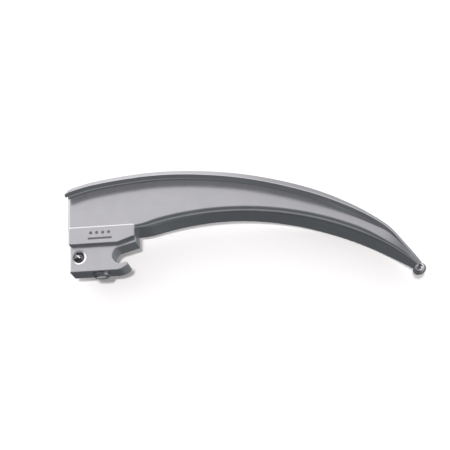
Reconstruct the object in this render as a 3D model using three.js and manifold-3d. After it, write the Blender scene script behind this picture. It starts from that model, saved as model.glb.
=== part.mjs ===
// Curved (Macintosh) laryngoscope blade, size 3, with a fibre light guide and a hook-on heel.
// Millimetres. The drawing origin is the axis of the handle's hinge pin, inside the hook notch:
// +X runs towards the tip, +Y is the side the web stands on, +Z is the blade's left side.
// The whole drawing is finally lifted so that the blade lies on its right side, with the row's
// origin at the centre of the bottom of its bounding box.

import * as THREE from 'three';
import { mergeVertices } from 'three/addons/utils/BufferGeometryUtils.js';
import Module from 'manifold-3d';

const wasm = await Module();
wasm.setup();

const DEGREE = Math.PI / 180;

// A running gap between brazed or fitted pieces, and the smaller one round a pressed-in piece.
const FIT = 0.05;
const PRESS_FIT = 0.02;

// ---------------------------------------------------------------- driving dimensions

// Formed sheet: spatula, web and flange in one pressing.
const SHEET = 1.6;
const ROOT_BEND = 2.4;
const FOLD_RADIUS = 1.1;
const INNER_RADIUS = 1.2;
const EDGE_RADIUS = 0.65;
const LIP_RADIUS = 0.25;
const LIP_CORNER = 0.08;
const FLANGE_DROOP = 29 * DEGREE;
const TIP_DROOP = 40 * DEGREE;
const FLANGE_WIDTH = 8.5;

// Root line: underside of the spatula at the web, seen from the side.
const HEEL_REAR = -18.5;
const HEEL_FRONT = 5.8;
const ROOT_HEIGHT = 9.3;
const SHEET_STANDOFF = 0.4;
const SWEEP_UP = 13 * DEGREE;
const SWEEP_UP_RADIUS = 30;
const SWEEP_UP_START = 24.4;
const MAIN_RADIUS = 113;
const DISTAL_RADIUS = 105;
const DISTAL_START = 90.4;
const SHEET_END = 131;

// Bead across the tip, where the sheet is rolled under.
const BEAD_RADIUS = 1.9;

// Heel block: a wide shoulder over a narrow tongue that enters the handle's slot.
const BLOCK_LEFT = 0.9;
const OVERHANG = 2.8;
const TONGUE_THICKNESS = 9.4;
const TONGUE_LEFT = BLOCK_LEFT - OVERHANG;
const TONGUE_RIGHT = TONGUE_LEFT - TONGUE_THICKNESS;
const BLOCK_RIGHT = TONGUE_RIGHT - OVERHANG;
const MID_Z = (TONGUE_LEFT + TONGUE_RIGHT) / 2;
const SHOULDER_BOTTOM = 4.2;
const SHOULDER_FRONT_BOTTOM = 6.2;
const TONGUE_BOTTOM = -5.5;
const LIP_RISE = 1.45;
const NOTCH_RADIUS = 2.95;
const NOSE_X = 1.95;
const NOSE_Y = -3.25;
const NOSE_RADIUS = 0.72;
const JAW_X = -2;
const JAW_Y = 1.5;
const CORNER_CUT = 3.3;
const SLOT_SLOPE = 14.7 * DEGREE;

// Spring detents that click into the handle.
const DETENT_X = -15.2;
const BALL_RADIUS = 2.2;
const BALL_PROUD = 0.88;
const RING_RADIUS = 2.93;
const RING_LENGTH = 1.7;
const RING_DISH = 0.3;
const RING_MOUTH = 2.0;
const DETENT_BORE = 2.45;

// Light guide.
const INLET_X = -7.7;
const BOSS_RADIUS = 3.3;
const BOSS_PROUD = 1.4;
const BOSS_BEVEL = 0.9;
const BOSS_RIM = 0.3;
const SHANK_RADIUS = 2.3;
const TUBE_RADIUS = 1.6;
const TUBE_BORE = 1.25;
const BUNDLE_RADIUS = 1.1;
const GUIDE_OFFSET = 1.8;
const GUIDE_Z = -SHEET - GUIDE_OFFSET;
const GUIDE_LIFT = SHEET + GUIDE_OFFSET;
const GUIDE_START = 26;
const GUIDE_END = 86;
const OUTLET_LENGTH = 4;

// ---------------------------------------------------------------- general helpers

// A value that changes smoothly along the blade, from [station, value] pairs.
function smoothAlong(pairs) {
  const slope = pairs.map((pair, i) => {
    const before = pairs[Math.max(i - 1, 0)];
    const after = pairs[Math.min(i + 1, pairs.length - 1)];
    return (after[1] - before[1]) / (after[0] - before[0]);
  });
  return (station) => {
    const last = pairs.length - 1;
    if (station <= pairs[0][0]) return pairs[0][1];
    if (station >= pairs[last][0]) return pairs[last][1];
    const i = pairs.findIndex((pair) => pair[0] > station) - 1;
    const span = pairs[i + 1][0] - pairs[i][0];
    const t = (station - pairs[i][0]) / span;
    const rest = 1 - t;
    return rest * rest * (1 + 2 * t) * pairs[i][1] + t * rest * rest * span * slope[i]
      + t * t * (3 - 2 * t) * pairs[i + 1][1] - t * t * rest * span * slope[i + 1];
  };
}

// A rounding uses up at most this share of either side of its corner.
const ROUNDING_SHARE = 0.45;

// A closed outline with rounded corners. Each corner is [x, y, radius]; every rounded corner gets
// the same number of points, so outlines of one kind can be joined into a loft.
function roundedOutline(corners, steps) {
  const outline = [];
  corners.forEach(([x, y, radius], i) => {
    const here = new THREE.Vector2(x, y);
    if (!radius) {
      outline.push(here);
      return;
    }
    const before = corners[(i + corners.length - 1) % corners.length];
    const after = corners[(i + 1) % corners.length];
    const back = new THREE.Vector2(before[0], before[1]).sub(here);
    const on = new THREE.Vector2(after[0], after[1]).sub(here);
    const room = ROUNDING_SHARE * Math.min(back.length(), on.length());
    back.normalize();
    on.normalize();
    const half = Math.acos(THREE.MathUtils.clamp(back.dot(on), -1, 1)) / 2;
    const reach = Math.min(radius / Math.tan(half), room);
    const used = reach * Math.tan(half);
    const centre = here.clone().add(back.clone().add(on).normalize().multiplyScalar(used / Math.sin(half)));
    const start = here.clone().add(back.multiplyScalar(reach)).sub(centre);
    const end = here.clone().add(on.multiplyScalar(reach)).sub(centre);
    const turn = Math.atan2(start.cross(end), start.dot(end));
    for (let k = 0; k <= steps; k += 1) {
      outline.push(start.clone().rotateAround(new THREE.Vector2(), (turn * k) / steps).add(centre));
    }
  });
  return outline;
}

// A closed body through a row of rings that all have the same number of points. The flat outline
// of the first and last ring says how its cap is filled.
function loft(rings, firstOutline, lastOutline) {
  const count = rings[0].length;
  const positions = [];
  rings.forEach((ring) => ring.forEach((point) => positions.push(point.x, point.y, point.z)));
  const index = [];
  for (let r = 0; r + 1 < rings.length; r += 1) {
    for (let k = 0; k < count; k += 1) {
      const a = r * count + k;
      const b = r * count + ((k + 1) % count);
      index.push(a, b, b + count, a, b + count, a + count);
    }
  }
  const last = (rings.length - 1) * count;
  THREE.ShapeUtils.triangulateShape(firstOutline, []).forEach(([a, b, c]) => index.push(a, c, b));
  THREE.ShapeUtils.triangulateShape(lastOutline, []).forEach(([a, b, c]) => {
    index.push(last + a, last + b, last + c);
  });
  const geometry = new THREE.BufferGeometry();
  geometry.setAttribute('position', new THREE.Float32BufferAttribute(positions, 3));
  geometry.setIndex(index);
  return geometry;
}

// A copy of a geometry as a solid that can be cut and joined.
function toSolid(geometry) {
  const bare = geometry.clone();
  bare.deleteAttribute('normal');
  bare.deleteAttribute('uv');
  const merged = mergeVertices(bare, 1e-4);
  const mesh = new wasm.Mesh({
    numProp: 3,
    vertProperties: new Float32Array(merged.attributes.position.array),
    triVerts: new Uint32Array(merged.index.array),
  });
  return new wasm.Manifold(mesh);
}

function toGeometry(solid) {
  const mesh = solid.getMesh();
  const geometry = new THREE.BufferGeometry();
  geometry.setAttribute('position', new THREE.BufferAttribute(new Float32Array(mesh.vertProperties), 3));
  geometry.setIndex(new THREE.BufferAttribute(new Uint32Array(mesh.triVerts), 1));
  return geometry;
}

// A prism of a flat X-Y outline between two Z levels.
function prism(outline, low, high) {
  const geometry = new THREE.ExtrudeGeometry(new THREE.Shape(outline), {
    depth: high - low,
    bevelEnabled: false,
  });
  geometry.translate(0, 0, low);
  return geometry;
}

// A round bar along +Z from z = 0.
function bar(radius, length, sides = 32) {
  const geometry = new THREE.CylinderGeometry(radius, radius, length, sides);
  geometry.rotateX(90 * DEGREE);
  geometry.translate(0, 0, length / 2);
  return geometry;
}

// A turned piece along +Z. Its profile is [radius, z] pairs that start and end on the axis, or
// close on themselves.
function turned(profile, sides = 28) {
  const points = profile.map(([radius, z]) => new THREE.Vector2(radius, z));
  const geometry = new THREE.LatheGeometry(points, sides);
  geometry.rotateX(90 * DEGREE);
  geometry.scale(1, -1, 1);
  return toGeometry(outwardSolid(geometry));
}

// A solid that faces outwards, whichever way round its geometry was drawn.
function outwardSolid(geometry) {
  const solid = toSolid(geometry);
  if (solid.volume() > 0) return solid;
  const flipped = geometry.clone();
  const order = flipped.index.array;
  for (let i = 0; i < order.length; i += 3) {
    [order[i + 1], order[i + 2]] = [order[i + 2], order[i + 1]];
  }
  return toSolid(flipped);
}

// A wire or tube along a path.
function alongPath(shape, path, steps, curveSegments = 6) {
  return new THREE.ExtrudeGeometry(shape, { extrudePath: path, steps, bevelEnabled: false, curveSegments });
}

function disc(radius, holeRadius = 0) {
  const shape = new THREE.Shape();
  shape.absarc(0, 0, radius, 0, 2 * Math.PI, false);
  if (holeRadius > 0) {
    const hole = new THREE.Path();
    hole.absarc(0, 0, holeRadius, 0, 2 * Math.PI, true);
    shape.holes.push(hole);
  }
  return shape;
}

const LOOKS = {
  sheet_steel: { color: 0xb9b8bc, metalness: 0.9, roughness: 0.35 },
  block_steel: { color: 0xb2b1b6, metalness: 0.9, roughness: 0.4 },
  ball_steel: { color: 0x8a8c90, metalness: 1.0, roughness: 0.1 },
  ring_steel: { color: 0xd0d0d2, metalness: 1.0, roughness: 0.2 },
  spring_steel: { color: 0x9a9a98, metalness: 0.9, roughness: 0.3 },
  ferrule_steel: { color: 0x9c9da0, metalness: 0.9, roughness: 0.3 },
  guide_tube: { color: 0xc3c4c6, metalness: 0.9, roughness: 0.25 },
  fibre_glass: { color: 0xe8e2cf, metalness: 0.0, roughness: 0.4 },
  window_glass: { color: 0xdfe8ea, metalness: 0.0, roughness: 0.05 },
  seal_rubber: { color: 0x202022, metalness: 0.0, roughness: 0.8 },
  screw_steel: { color: 0x77787c, metalness: 0.9, roughness: 0.4 },
};

function piece(name, look, geometry) {
  const material = new THREE.MeshStandardMaterial(LOOKS[look]);
  material.name = look;
  const mesh = new THREE.Mesh(geometry, material);
  mesh.name = name;
  return mesh;
}

// ---------------------------------------------------------------- the blade's root line

// The root line is level on the heel, sweeps up, then curves down to the tip in two long arcs.
const ROOT_STEP = 0.2;
const ROOT_LINE = walkRootLine();

function curvatureAt(station) {
  if (station < SWEEP_UP_START) return 0;
  if (station < SWEEP_UP_START + SWEEP_UP_RADIUS * SWEEP_UP) return 1 / SWEEP_UP_RADIUS;
  return station < DISTAL_START ? -1 / MAIN_RADIUS : -1 / DISTAL_RADIUS;
}

function walkRootLine() {
  const line = [{ x: HEEL_REAR - SHEET_STANDOFF, y: ROOT_HEIGHT, angle: 0 }];
  for (let station = 0; station < SHEET_END + BEAD_RADIUS; station += ROOT_STEP) {
    const { x, y, angle } = line[line.length - 1];
    const next = angle + curvatureAt(station) * ROOT_STEP;
    const middle = (angle + next) / 2;
    line.push({ x: x + Math.cos(middle) * ROOT_STEP, y: y + Math.sin(middle) * ROOT_STEP, angle: next });
  }
  return line;
}

function rootAt(station) {
  const place = station / ROOT_STEP;
  const i = Math.floor(place);
  const t = place - i;
  const mix = (key) => ROOT_LINE[i][key] * (1 - t) + ROOT_LINE[i + 1][key] * t;
  return { x: mix('x'), y: mix('y'), angle: mix('angle') };
}

// A point given by its station, its height above the root line and its Z.
function onBlade(station, height, z) {
  const root = rootAt(station);
  return new THREE.Vector3(
    root.x - Math.sin(root.angle) * height,
    root.y + Math.cos(root.angle) * height,
    z,
  );
}

// Turns something drawn along +Z so that it points along the blade at a station.
function pointAlongBlade(object, station, height, z) {
  const root = rootAt(station);
  const forward = new THREE.Vector3(Math.cos(root.angle), Math.sin(root.angle), 0);
  const up = new THREE.Vector3(-Math.sin(root.angle), Math.cos(root.angle), 0);
  const side = new THREE.Vector3().crossVectors(up, forward);
  object.quaternion.setFromRotationMatrix(new THREE.Matrix4().makeBasis(side, up, forward));
  object.position.copy(onBlade(station, height, z));
}

// ---------------------------------------------------------------- the pressing

// The crown is the sharp corner of the fold between web and flange, seen from the side.
const CROWN = new THREE.SplineCurve([
  new THREE.Vector2(-19.5, 26.2),
  new THREE.Vector2(-8.5, 28.95),
  new THREE.Vector2(10, 30.85),
  new THREE.Vector2(28, 30.45),
  new THREE.Vector2(48, 27.5),
  new THREE.Vector2(68.5, 21.5),
  new THREE.Vector2(84, 14.2),
  new THREE.Vector2(96.2, 5.8),
  new THREE.Vector2(102.85, -2),
  new THREE.Vector2(109.1, -10.5),
]).getPoints(400);

// Height of the crown above the root line at a station.
function crownHeight(station) {
  const root = rootAt(station);
  const forward = new THREE.Vector2(Math.cos(root.angle), Math.sin(root.angle));
  const up = new THREE.Vector2(-forward.y, forward.x);
  const relative = CROWN.map((point) => point.clone().sub(new THREE.Vector2(root.x, root.y)));
  const i = relative.findIndex((point) => point.dot(forward) > 0);
  const before = relative[i - 1];
  const after = relative[i];
  const t = -before.dot(forward) / (after.dot(forward) - before.dot(forward));
  return before.clone().lerp(after, t).dot(up);
}

// Plan shape: the left edge draws in near the tip, the right edge is narrow behind and broad ahead.
const leftEdge = smoothAlong([[0, 0], [112, 0], [120, -0.3], [126, -1.5], [SHEET_END, -3.6]]);
const rightEdge = smoothAlong([
  [0, -14.15], [30, -14.2], [60, -13.5], [82, -15.3], [98, -16.6], [112, -16.3], [122, -15.4],
  [SHEET_END, -12.8],
]);

// The flange narrows over the front third. It leans over and thins out until only a bevel is left.
const DROOP_FROM = 106;
const DROOP_TO = 124;
const LIP_FROM = 112;
const LIP_TO = 126;
const THINNEST_LIP = 0.4;
const SHARPEST_LIP = 0.05;
const TIP_INNER_RADIUS = 0.3;
const TIP_ROOT_BEND = 1.2;
const flangeWidth = smoothAlong([
  [0, FLANGE_WIDTH], [84, FLANGE_WIDTH], [97, 7], [108, 4.9], [115, 3.2], [120, 2.7], [LIP_TO, 2.3],
]);

const OUTLINE_STEPS = 4;

// Section across the blade at a station, as z and height pairs.
function sheetSection(station) {
  const left = leftEdge(station);
  const right = rightEdge(station);
  const top = crownHeight(station);
  const leaning = THREE.MathUtils.smoothstep(station, DROOP_FROM, DROOP_TO);
  const droop = THREE.MathUtils.lerp(FLANGE_DROOP, TIP_DROOP, leaning);
  const thinning = THREE.MathUtils.smoothstep(station, LIP_FROM, LIP_TO);
  const lip = THREE.MathUtils.lerp(SHEET, THINNEST_LIP, thinning);
  const across = new THREE.Vector2(Math.cos(droop), -Math.sin(droop));
  const under = new THREE.Vector2(-Math.sin(droop), -Math.cos(droop));
  const fold = new THREE.Vector2(left - SHEET, top);
  const atWeb = (SHEET - lip * under.x) / across.x;
  const width = Math.max(flangeWidth(station), atWeb + PRESS_FIT);
  const lipTop = fold.clone().addScaledVector(across, width);
  const lipUnder = lipTop.clone().addScaledVector(under, lip);
  const pocket = fold.clone().addScaledVector(across, atWeb).addScaledVector(under, lip);
  const lipRadius = THREE.MathUtils.lerp(LIP_RADIUS, SHARPEST_LIP, thinning);
  const rootBend = THREE.MathUtils.lerp(ROOT_BEND, TIP_ROOT_BEND, leaning);
  const pocketRadius = THREE.MathUtils.lerp(INNER_RADIUS, TIP_INNER_RADIUS, leaning);
  return roundedOutline([
    [right, 0, EDGE_RADIUS],
    [left, 0, rootBend],
    [pocket.x, pocket.y, pocketRadius],
    [lipUnder.x, lipUnder.y, LIP_CORNER],
    [lipTop.x, lipTop.y, lipRadius],
    [fold.x, fold.y, FOLD_RADIUS],
    [fold.x, SHEET, INNER_RADIUS],
    [right, SHEET, EDGE_RADIUS],
  ], OUTLINE_STEPS);
}

function sheetStations() {
  const stations = [];
  const add = (from, to, count) => {
    for (let i = 0; i < count; i += 1) stations.push(from + ((to - from) * i) / count);
  };
  add(0, SWEEP_UP_START - 1, 5);
  add(SWEEP_UP_START - 1, SWEEP_UP_START + 8, 6);
  add(SWEEP_UP_START + 8, 108, 22);
  add(108, SHEET_END, 13);
  stations.push(SHEET_END);
  return stations;
}

function buildSheetBody() {
  const stations = sheetStations();
  const outlines = stations.map(sheetSection);
  const rings = outlines.map((outline, i) => outline.map((point) => onBlade(stations[i], point.y, point.x)));
  return outwardSolid(loft(rings, outlines[0], outlines[outlines.length - 1]));
}

// The bead is a round roll under the rounded end of the spatula.
const BEAD_HALF_LENGTH = 3.9;
const BEAD_MID_Z = -8.4;
const BEAD_HEIGHT = 0.5;
const BEAD_LEAD = 0.3;
const BEAD_BULGE = 0.6;
const BEAD_SKEW = 0.3;

function buildBead() {
  const points = [-1, -0.75, -0.4, 0, 0.4, 0.75, 1].map((across) => {
    const station = SHEET_END + BEAD_LEAD + BEAD_BULGE * (1 - across * across) - BEAD_SKEW * across;
    return onBlade(station, BEAD_HEIGHT, BEAD_MID_Z - BEAD_HALF_LENGTH * across);
  });
  const path = new THREE.CatmullRomCurve3(points);
  const roll = toSolid(alongPath(disc(BEAD_RADIUS), path, 10, 12));
  const ends = [points[0], points[points.length - 1]].map((point) => {
    const ball = new THREE.SphereGeometry(BEAD_RADIUS, 24, 16);
    ball.translate(point.x, point.y, point.z);
    return toSolid(ball);
  });
  return roll.add(ends[0]).add(ends[1]);
}

function buildBladeSheet() {
  const guideHole = bar(TUBE_RADIUS + 3 * FIT, 2 * SHEET, 24);
  guideHole.rotateX(-90 * DEGREE);
  guideHole.translate(INLET_X, ROOT_HEIGHT - SHEET / 2, MID_Z);
  const body = buildSheetBody().add(buildBead()).subtract(toSolid(guideHole));
  return piece('blade_sheet', 'sheet_steel', toGeometry(body));
}

// ---------------------------------------------------------------- the heel block

function arcPoints(x, y, radius, from, to, count) {
  const points = [];
  for (let i = 0; i <= count; i += 1) {
    const angle = from + ((to - from) * i) / count;
    points.push(new THREE.Vector2(x + radius * Math.cos(angle), y + radius * Math.sin(angle)));
  }
  return points;
}

// Side view of the tongue, with the hook notch that drops over the handle's pin.
function tongueOutline() {
  const slotStart = 90 * DEGREE + SLOT_SLOPE;
  const slotY = (x) => NOTCH_RADIUS / Math.cos(SLOT_SLOPE) + Math.tan(SLOT_SLOPE) * x;
  return [
    new THREE.Vector2(HEEL_REAR, TONGUE_BOTTOM),
    ...arcPoints(JAW_X, JAW_Y, JAW_Y - TONGUE_BOTTOM, -90 * DEGREE, -50 * DEGREE, 10),
    ...arcPoints(NOSE_X, NOSE_Y, NOSE_RADIUS, -35 * DEGREE, 75 * DEGREE, 6),
    ...arcPoints(0, 0, NOTCH_RADIUS, -58 * DEGREE, slotStart - 360 * DEGREE, 30),
    new THREE.Vector2(HEEL_FRONT, slotY(HEEL_FRONT)),
    new THREE.Vector2(HEEL_FRONT, ROOT_HEIGHT - FIT),
    new THREE.Vector2(HEEL_REAR, ROOT_HEIGHT - FIT),
  ];
}

// Side view of the shoulder: level underneath, rising to the front above the slot.
function shoulderOutline(top) {
  return [
    new THREE.Vector2(HEEL_REAR, SHOULDER_BOTTOM),
    new THREE.Vector2(-0.6, SHOULDER_BOTTOM),
    new THREE.Vector2(HEEL_FRONT, SHOULDER_FRONT_BOTTOM),
    new THREE.Vector2(HEEL_FRONT, top),
    new THREE.Vector2(HEEL_REAR, top),
  ];
}

// The left wall of the shoulder stands up past the sheet and is rounded over. Drawn with its left
// side at negative x.
function lipSection() {
  const low = ROOT_HEIGHT - 1;
  const high = ROOT_HEIGHT + LIP_RISE;
  const crest = 2 * FIT;
  const round = BLOCK_LEFT - crest;
  return [
    new THREE.Vector2(-BLOCK_LEFT, low),
    new THREE.Vector2(-FIT, low),
    new THREE.Vector2(-FIT, high),
    ...arcPoints(-crest, high - round, round, 90 * DEGREE, 180 * DEGREE, 6),
  ];
}

function buildLip() {
  const rail = new THREE.ExtrudeGeometry(new THREE.Shape(lipSection()), {
    depth: HEEL_FRONT - HEEL_REAR,
    bevelEnabled: false,
  });
  rail.rotateY(90 * DEGREE);
  rail.translate(HEEL_REAR, 0, 0);
  return outwardSolid(rail);
}

// Round holes in the block along Y, X and Z.
function holeAlongY(radius, x, z, low, high) {
  const hole = bar(radius, high - low, 36);
  hole.rotateX(-90 * DEGREE);
  hole.translate(x, low, z);
  return toSolid(hole);
}

function holeAlongX(radius, y, z, from, to) {
  const hole = bar(radius, to - from, 24);
  hole.rotateY(90 * DEGREE);
  hole.translate(from, y, z);
  return toSolid(hole);
}

function holeAlongZ(radius, x, y, low, high) {
  const hole = bar(radius, high - low, 48);
  hole.translate(x, y, low);
  return toSolid(hole);
}

// The right front corner of the shoulder is cut back at 45 degrees by CORNER_CUT along each face.
function cornerCut() {
  const half = 2 * CORNER_CUT;
  const offset = half * Math.SQRT2 - CORNER_CUT;
  const cutter = new THREE.BoxGeometry(2 * half, 2 * ROOT_HEIGHT, 2 * half);
  cutter.rotateY(45 * DEGREE);
  cutter.translate(HEEL_FRONT + offset / 2, SHOULDER_BOTTOM, BLOCK_RIGHT - offset / 2);
  return toSolid(cutter);
}

function buildHeelBlock() {
  const tongue = toSolid(prism(tongueOutline(), TONGUE_RIGHT, TONGUE_LEFT));
  const shoulder = toSolid(prism(shoulderOutline(ROOT_HEIGHT - FIT), BLOCK_RIGHT, BLOCK_LEFT));
  const screwHole = holeAlongX(SCREW_RADIUS + FIT, SCREW_Y, MID_Z, HEEL_REAR - 1, INLET_X);
  const ringSeat = RING_RADIUS + PRESS_FIT;
  const ringDepth = RING_LENGTH + PRESS_FIT;
  const shankDepth = SHANK_TOP + SHANK_ROOM;
  const body = shoulder
    .subtract(cornerCut())
    .add(tongue)
    .add(buildLip())
    .subtract(holeAlongZ(DETENT_BORE, DETENT_X, 0, TONGUE_RIGHT - 1, TONGUE_LEFT + 1))
    .subtract(holeAlongZ(ringSeat, DETENT_X, 0, TONGUE_LEFT - ringDepth, TONGUE_LEFT + 1))
    .subtract(holeAlongZ(ringSeat, DETENT_X, 0, TONGUE_RIGHT - 1, TONGUE_RIGHT + ringDepth))
    .subtract(holeAlongY(SEAL_SEAT, INLET_X, MID_Z, TONGUE_BOTTOM - 1, TONGUE_BOTTOM + SEAL_DEPTH))
    .subtract(holeAlongY(SHANK_RADIUS + FIT, INLET_X, MID_Z, TONGUE_BOTTOM - 1, shankDepth))
    .subtract(holeAlongY(TUBE_RADIUS + 2 * FIT, INLET_X, MID_Z, 0, ROOT_HEIGHT + 1))
    .subtract(screwHole);
  return piece('heel_block', 'block_steel', toGeometry(body));
}

// ---------------------------------------------------------------- the detents

// A ball behind a dished retaining ring on each side of the tongue, one spring between them.
const BALL_DEPTH = BALL_RADIUS - BALL_PROUD;
const SPRING_RADIUS = 1.15;
const SPRING_WIRE = 0.17;
const SPRING_TURNS = 4;
const RING_WALL_START = BALL_RADIUS + 0.08;

function buildBall(side, sign) {
  const ball = piece(`detent_ball_${side}`, 'ball_steel', new THREE.SphereGeometry(BALL_RADIUS, 20, 12));
  const face = sign > 0 ? TONGUE_LEFT : TONGUE_RIGHT;
  ball.position.set(DETENT_X, 0, face - sign * BALL_DEPTH);
  return ball;
}

function buildRing(side, sign) {
  const mouthRear = RING_DISH + 0.15;
  const profile = [
    [RING_RADIUS, 0],
    [RING_RADIUS, -RING_LENGTH],
    [RING_WALL_START, -RING_LENGTH],
    [RING_WALL_START, -BALL_DEPTH + 2 * FIT],
    [RING_MOUTH + 0.09, -mouthRear],
    [RING_MOUTH, -RING_DISH],
    [RING_RADIUS - 0.1, 0],
    [RING_RADIUS, 0],
  ];
  const ring = piece(`detent_ring_${side}`, 'ring_steel', turned(profile, 32));
  ring.position.set(DETENT_X, 0, sign > 0 ? TONGUE_LEFT : TONGUE_RIGHT);
  if (sign < 0) ring.rotation.x = 180 * DEGREE;
  return ring;
}

function buildSpring() {
  const cup = BALL_RADIUS - Math.sqrt(BALL_RADIUS ** 2 - SPRING_RADIUS ** 2);
  const between = TONGUE_THICKNESS - 2 * BALL_DEPTH - 2 * BALL_RADIUS + 2 * cup;
  const length = between - 2 * SPRING_WIRE - 4 * FIT;
  class Helix extends THREE.Curve {
    getPoint(t, target = new THREE.Vector3()) {
      const angle = 2 * Math.PI * SPRING_TURNS * t;
      const z = (t - 0.5) * length;
      return target.set(SPRING_RADIUS * Math.cos(angle), SPRING_RADIUS * Math.sin(angle), z);
    }
  }
  const wire = new THREE.Shape();
  wire.absarc(0, 0, SPRING_WIRE, 0, 2 * Math.PI, false);
  const coil = new THREE.ExtrudeGeometry(wire, {
    extrudePath: new Helix(),
    steps: SPRING_TURNS * 12,
    bevelEnabled: false,
    curveSegments: 3,
  });
  const spring = piece('detent_spring', 'spring_steel', toGeometry(outwardSolid(coil)));
  spring.position.set(DETENT_X, 0, MID_Z);
  return spring;
}

function buildDetents() {
  const group = new THREE.Group();
  group.name = 'detents';
  [['left', 1], ['right', -1]].forEach(([side, sign]) => {
    group.add(buildRing(side, sign), buildBall(side, sign));
  });
  group.add(buildSpring());
  return group;
}

// ---------------------------------------------------------------- the light guide

// Inlet: a stepped ferrule in the bottom of the tongue, its glass window and its seal.
const SHANK_TOP = 0;
const SHANK_ROOM = 0.3;
const WINDOW_SEAT = 2.0;
const WINDOW_THICKNESS = 1.1;
const WINDOW_RECESS = 0.15;
const SEAL_SEAT = BOSS_RADIUS + 2 * FIT;
const SEAL_DEPTH = 0.8;
const SEAL_WIRE = 0.36;
const BOSS_FACE = TONGUE_BOTTOM - BOSS_PROUD;

// Turns something drawn along +Z so that it stands along +Y at the inlet.
function standAtInlet(mesh, y) {
  mesh.rotation.x = -90 * DEGREE;
  mesh.position.set(INLET_X, y, MID_Z);
  return mesh;
}

function buildInletFerrule() {
  const flangeTop = BOSS_PROUD - FIT;
  const shankTop = SHANK_TOP - BOSS_FACE;
  const seat = WINDOW_RECESS + WINDOW_THICKNESS + FIT;
  const profile = [
    [WINDOW_SEAT + FIT, 0],
    [BOSS_RADIUS - BOSS_BEVEL, 0],
    [BOSS_RADIUS - BOSS_BEVEL / 3, BOSS_BEVEL / 2],
    [BOSS_RADIUS, flangeTop - BOSS_RIM],
    [BOSS_RADIUS, flangeTop],
    [SHANK_RADIUS, flangeTop],
    [SHANK_RADIUS, shankTop],
    [BUNDLE_RADIUS + FIT, shankTop],
    [BUNDLE_RADIUS + FIT, seat],
    [WINDOW_SEAT + FIT, seat],
    [WINDOW_SEAT + FIT, 0],
  ];
  return standAtInlet(piece('inlet_ferrule', 'ferrule_steel', turned(profile)), BOSS_FACE);
}

function buildInletWindow() {
  const low = WINDOW_RECESS;
  const dome = 0.12;
  const high = low + WINDOW_THICKNESS;
  const profile = [
    [0, low - dome],
    [WINDOW_SEAT * 0.6, low - dome * 0.6],
    [WINDOW_SEAT, low],
    [WINDOW_SEAT, high],
    [0, high],
  ];
  return standAtInlet(piece('inlet_window', 'window_glass', turned(profile, 32)), BOSS_FACE);
}

function buildInletSeal() {
  const seal = new THREE.TorusGeometry((SHANK_RADIUS + SEAL_SEAT) / 2, SEAL_WIRE, 8, 28);
  return standAtInlet(piece('inlet_seal', 'seal_rubber', seal), TONGUE_BOTTOM + SEAL_WIRE + FIT);
}

// The guide stands up through the block and the spatula, bends over and lies in the corner
// between web and spatula.
const GUIDE_RISE_END = 12.4;
const BEND_RISE = 5.2;
const BEND_APPROACH = 9;
const BEND_LIFT = 3.4;

function guideCentreLine(from, to) {
  const points = [];
  for (let y = from; y < GUIDE_RISE_END - 0.5; y += 2) points.push(new THREE.Vector3(INLET_X, y, MID_Z));
  const landing = onBlade(GUIDE_START, GUIDE_LIFT, GUIDE_Z);
  const ahead = onBlade(GUIDE_START - BEND_APPROACH, GUIDE_LIFT + BEND_LIFT, GUIDE_Z);
  const bend = new THREE.CubicBezierCurve3(
    new THREE.Vector3(INLET_X, GUIDE_RISE_END, MID_Z),
    new THREE.Vector3(INLET_X, GUIDE_RISE_END + BEND_RISE, MID_Z),
    ahead,
    landing,
  );
  points.push(...bend.getPoints(9));
  for (let station = GUIDE_START + 5; station < to - 2; station += 5) {
    points.push(onBlade(station, GUIDE_LIFT, GUIDE_Z));
  }
  points.push(onBlade(to, GUIDE_LIFT, GUIDE_Z));
  return new THREE.CatmullRomCurve3(points);
}

const GUIDE_STEPS = 44;

function buildGuideTube() {
  const path = guideCentreLine(SHANK_TOP + 2 * FIT, GUIDE_END);
  const tube = alongPath(disc(TUBE_RADIUS, TUBE_BORE), path, GUIDE_STEPS);
  return piece('guide_tube', 'guide_tube', toGeometry(outwardSolid(tube)));
}

function buildFibreBundle() {
  const start = BOSS_FACE + WINDOW_RECESS + WINDOW_THICKNESS + 2 * FIT;
  const end = GUIDE_END + OUTLET_LENGTH - OUTLET_WINDOW - 6 * FIT;
  const bundle = alongPath(disc(BUNDLE_RADIUS), guideCentreLine(start, end), GUIDE_STEPS + 6);
  return piece('fibre_bundle', 'fibre_glass', toGeometry(outwardSolid(bundle)));
}

// A ring brazed to the spatula where the tube comes through.
function buildGuideCollar() {
  const height = 1;
  const profile = [
    [TUBE_RADIUS + FIT, 0],
    [TUBE_RADIUS + 1.3, 0],
    [TUBE_RADIUS + 1.3, height * 0.5],
    [TUBE_RADIUS + 0.8, height],
    [TUBE_RADIUS + FIT, height],
    [TUBE_RADIUS + FIT, 0],
  ];
  return standAtInlet(piece('guide_collar', 'ferrule_steel', turned(profile)), ROOT_HEIGHT + SHEET + FIT);
}

// A strap over the tube, with one foot on the web and one on the spatula.
const SADDLE_LENGTH = 3;
const SADDLE_THICKNESS = 0.5;
const SADDLE_FOOT = 1.7;
const SADDLE_BORE = TUBE_RADIUS + FIT;
const FOOT_START = 0.9;

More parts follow.
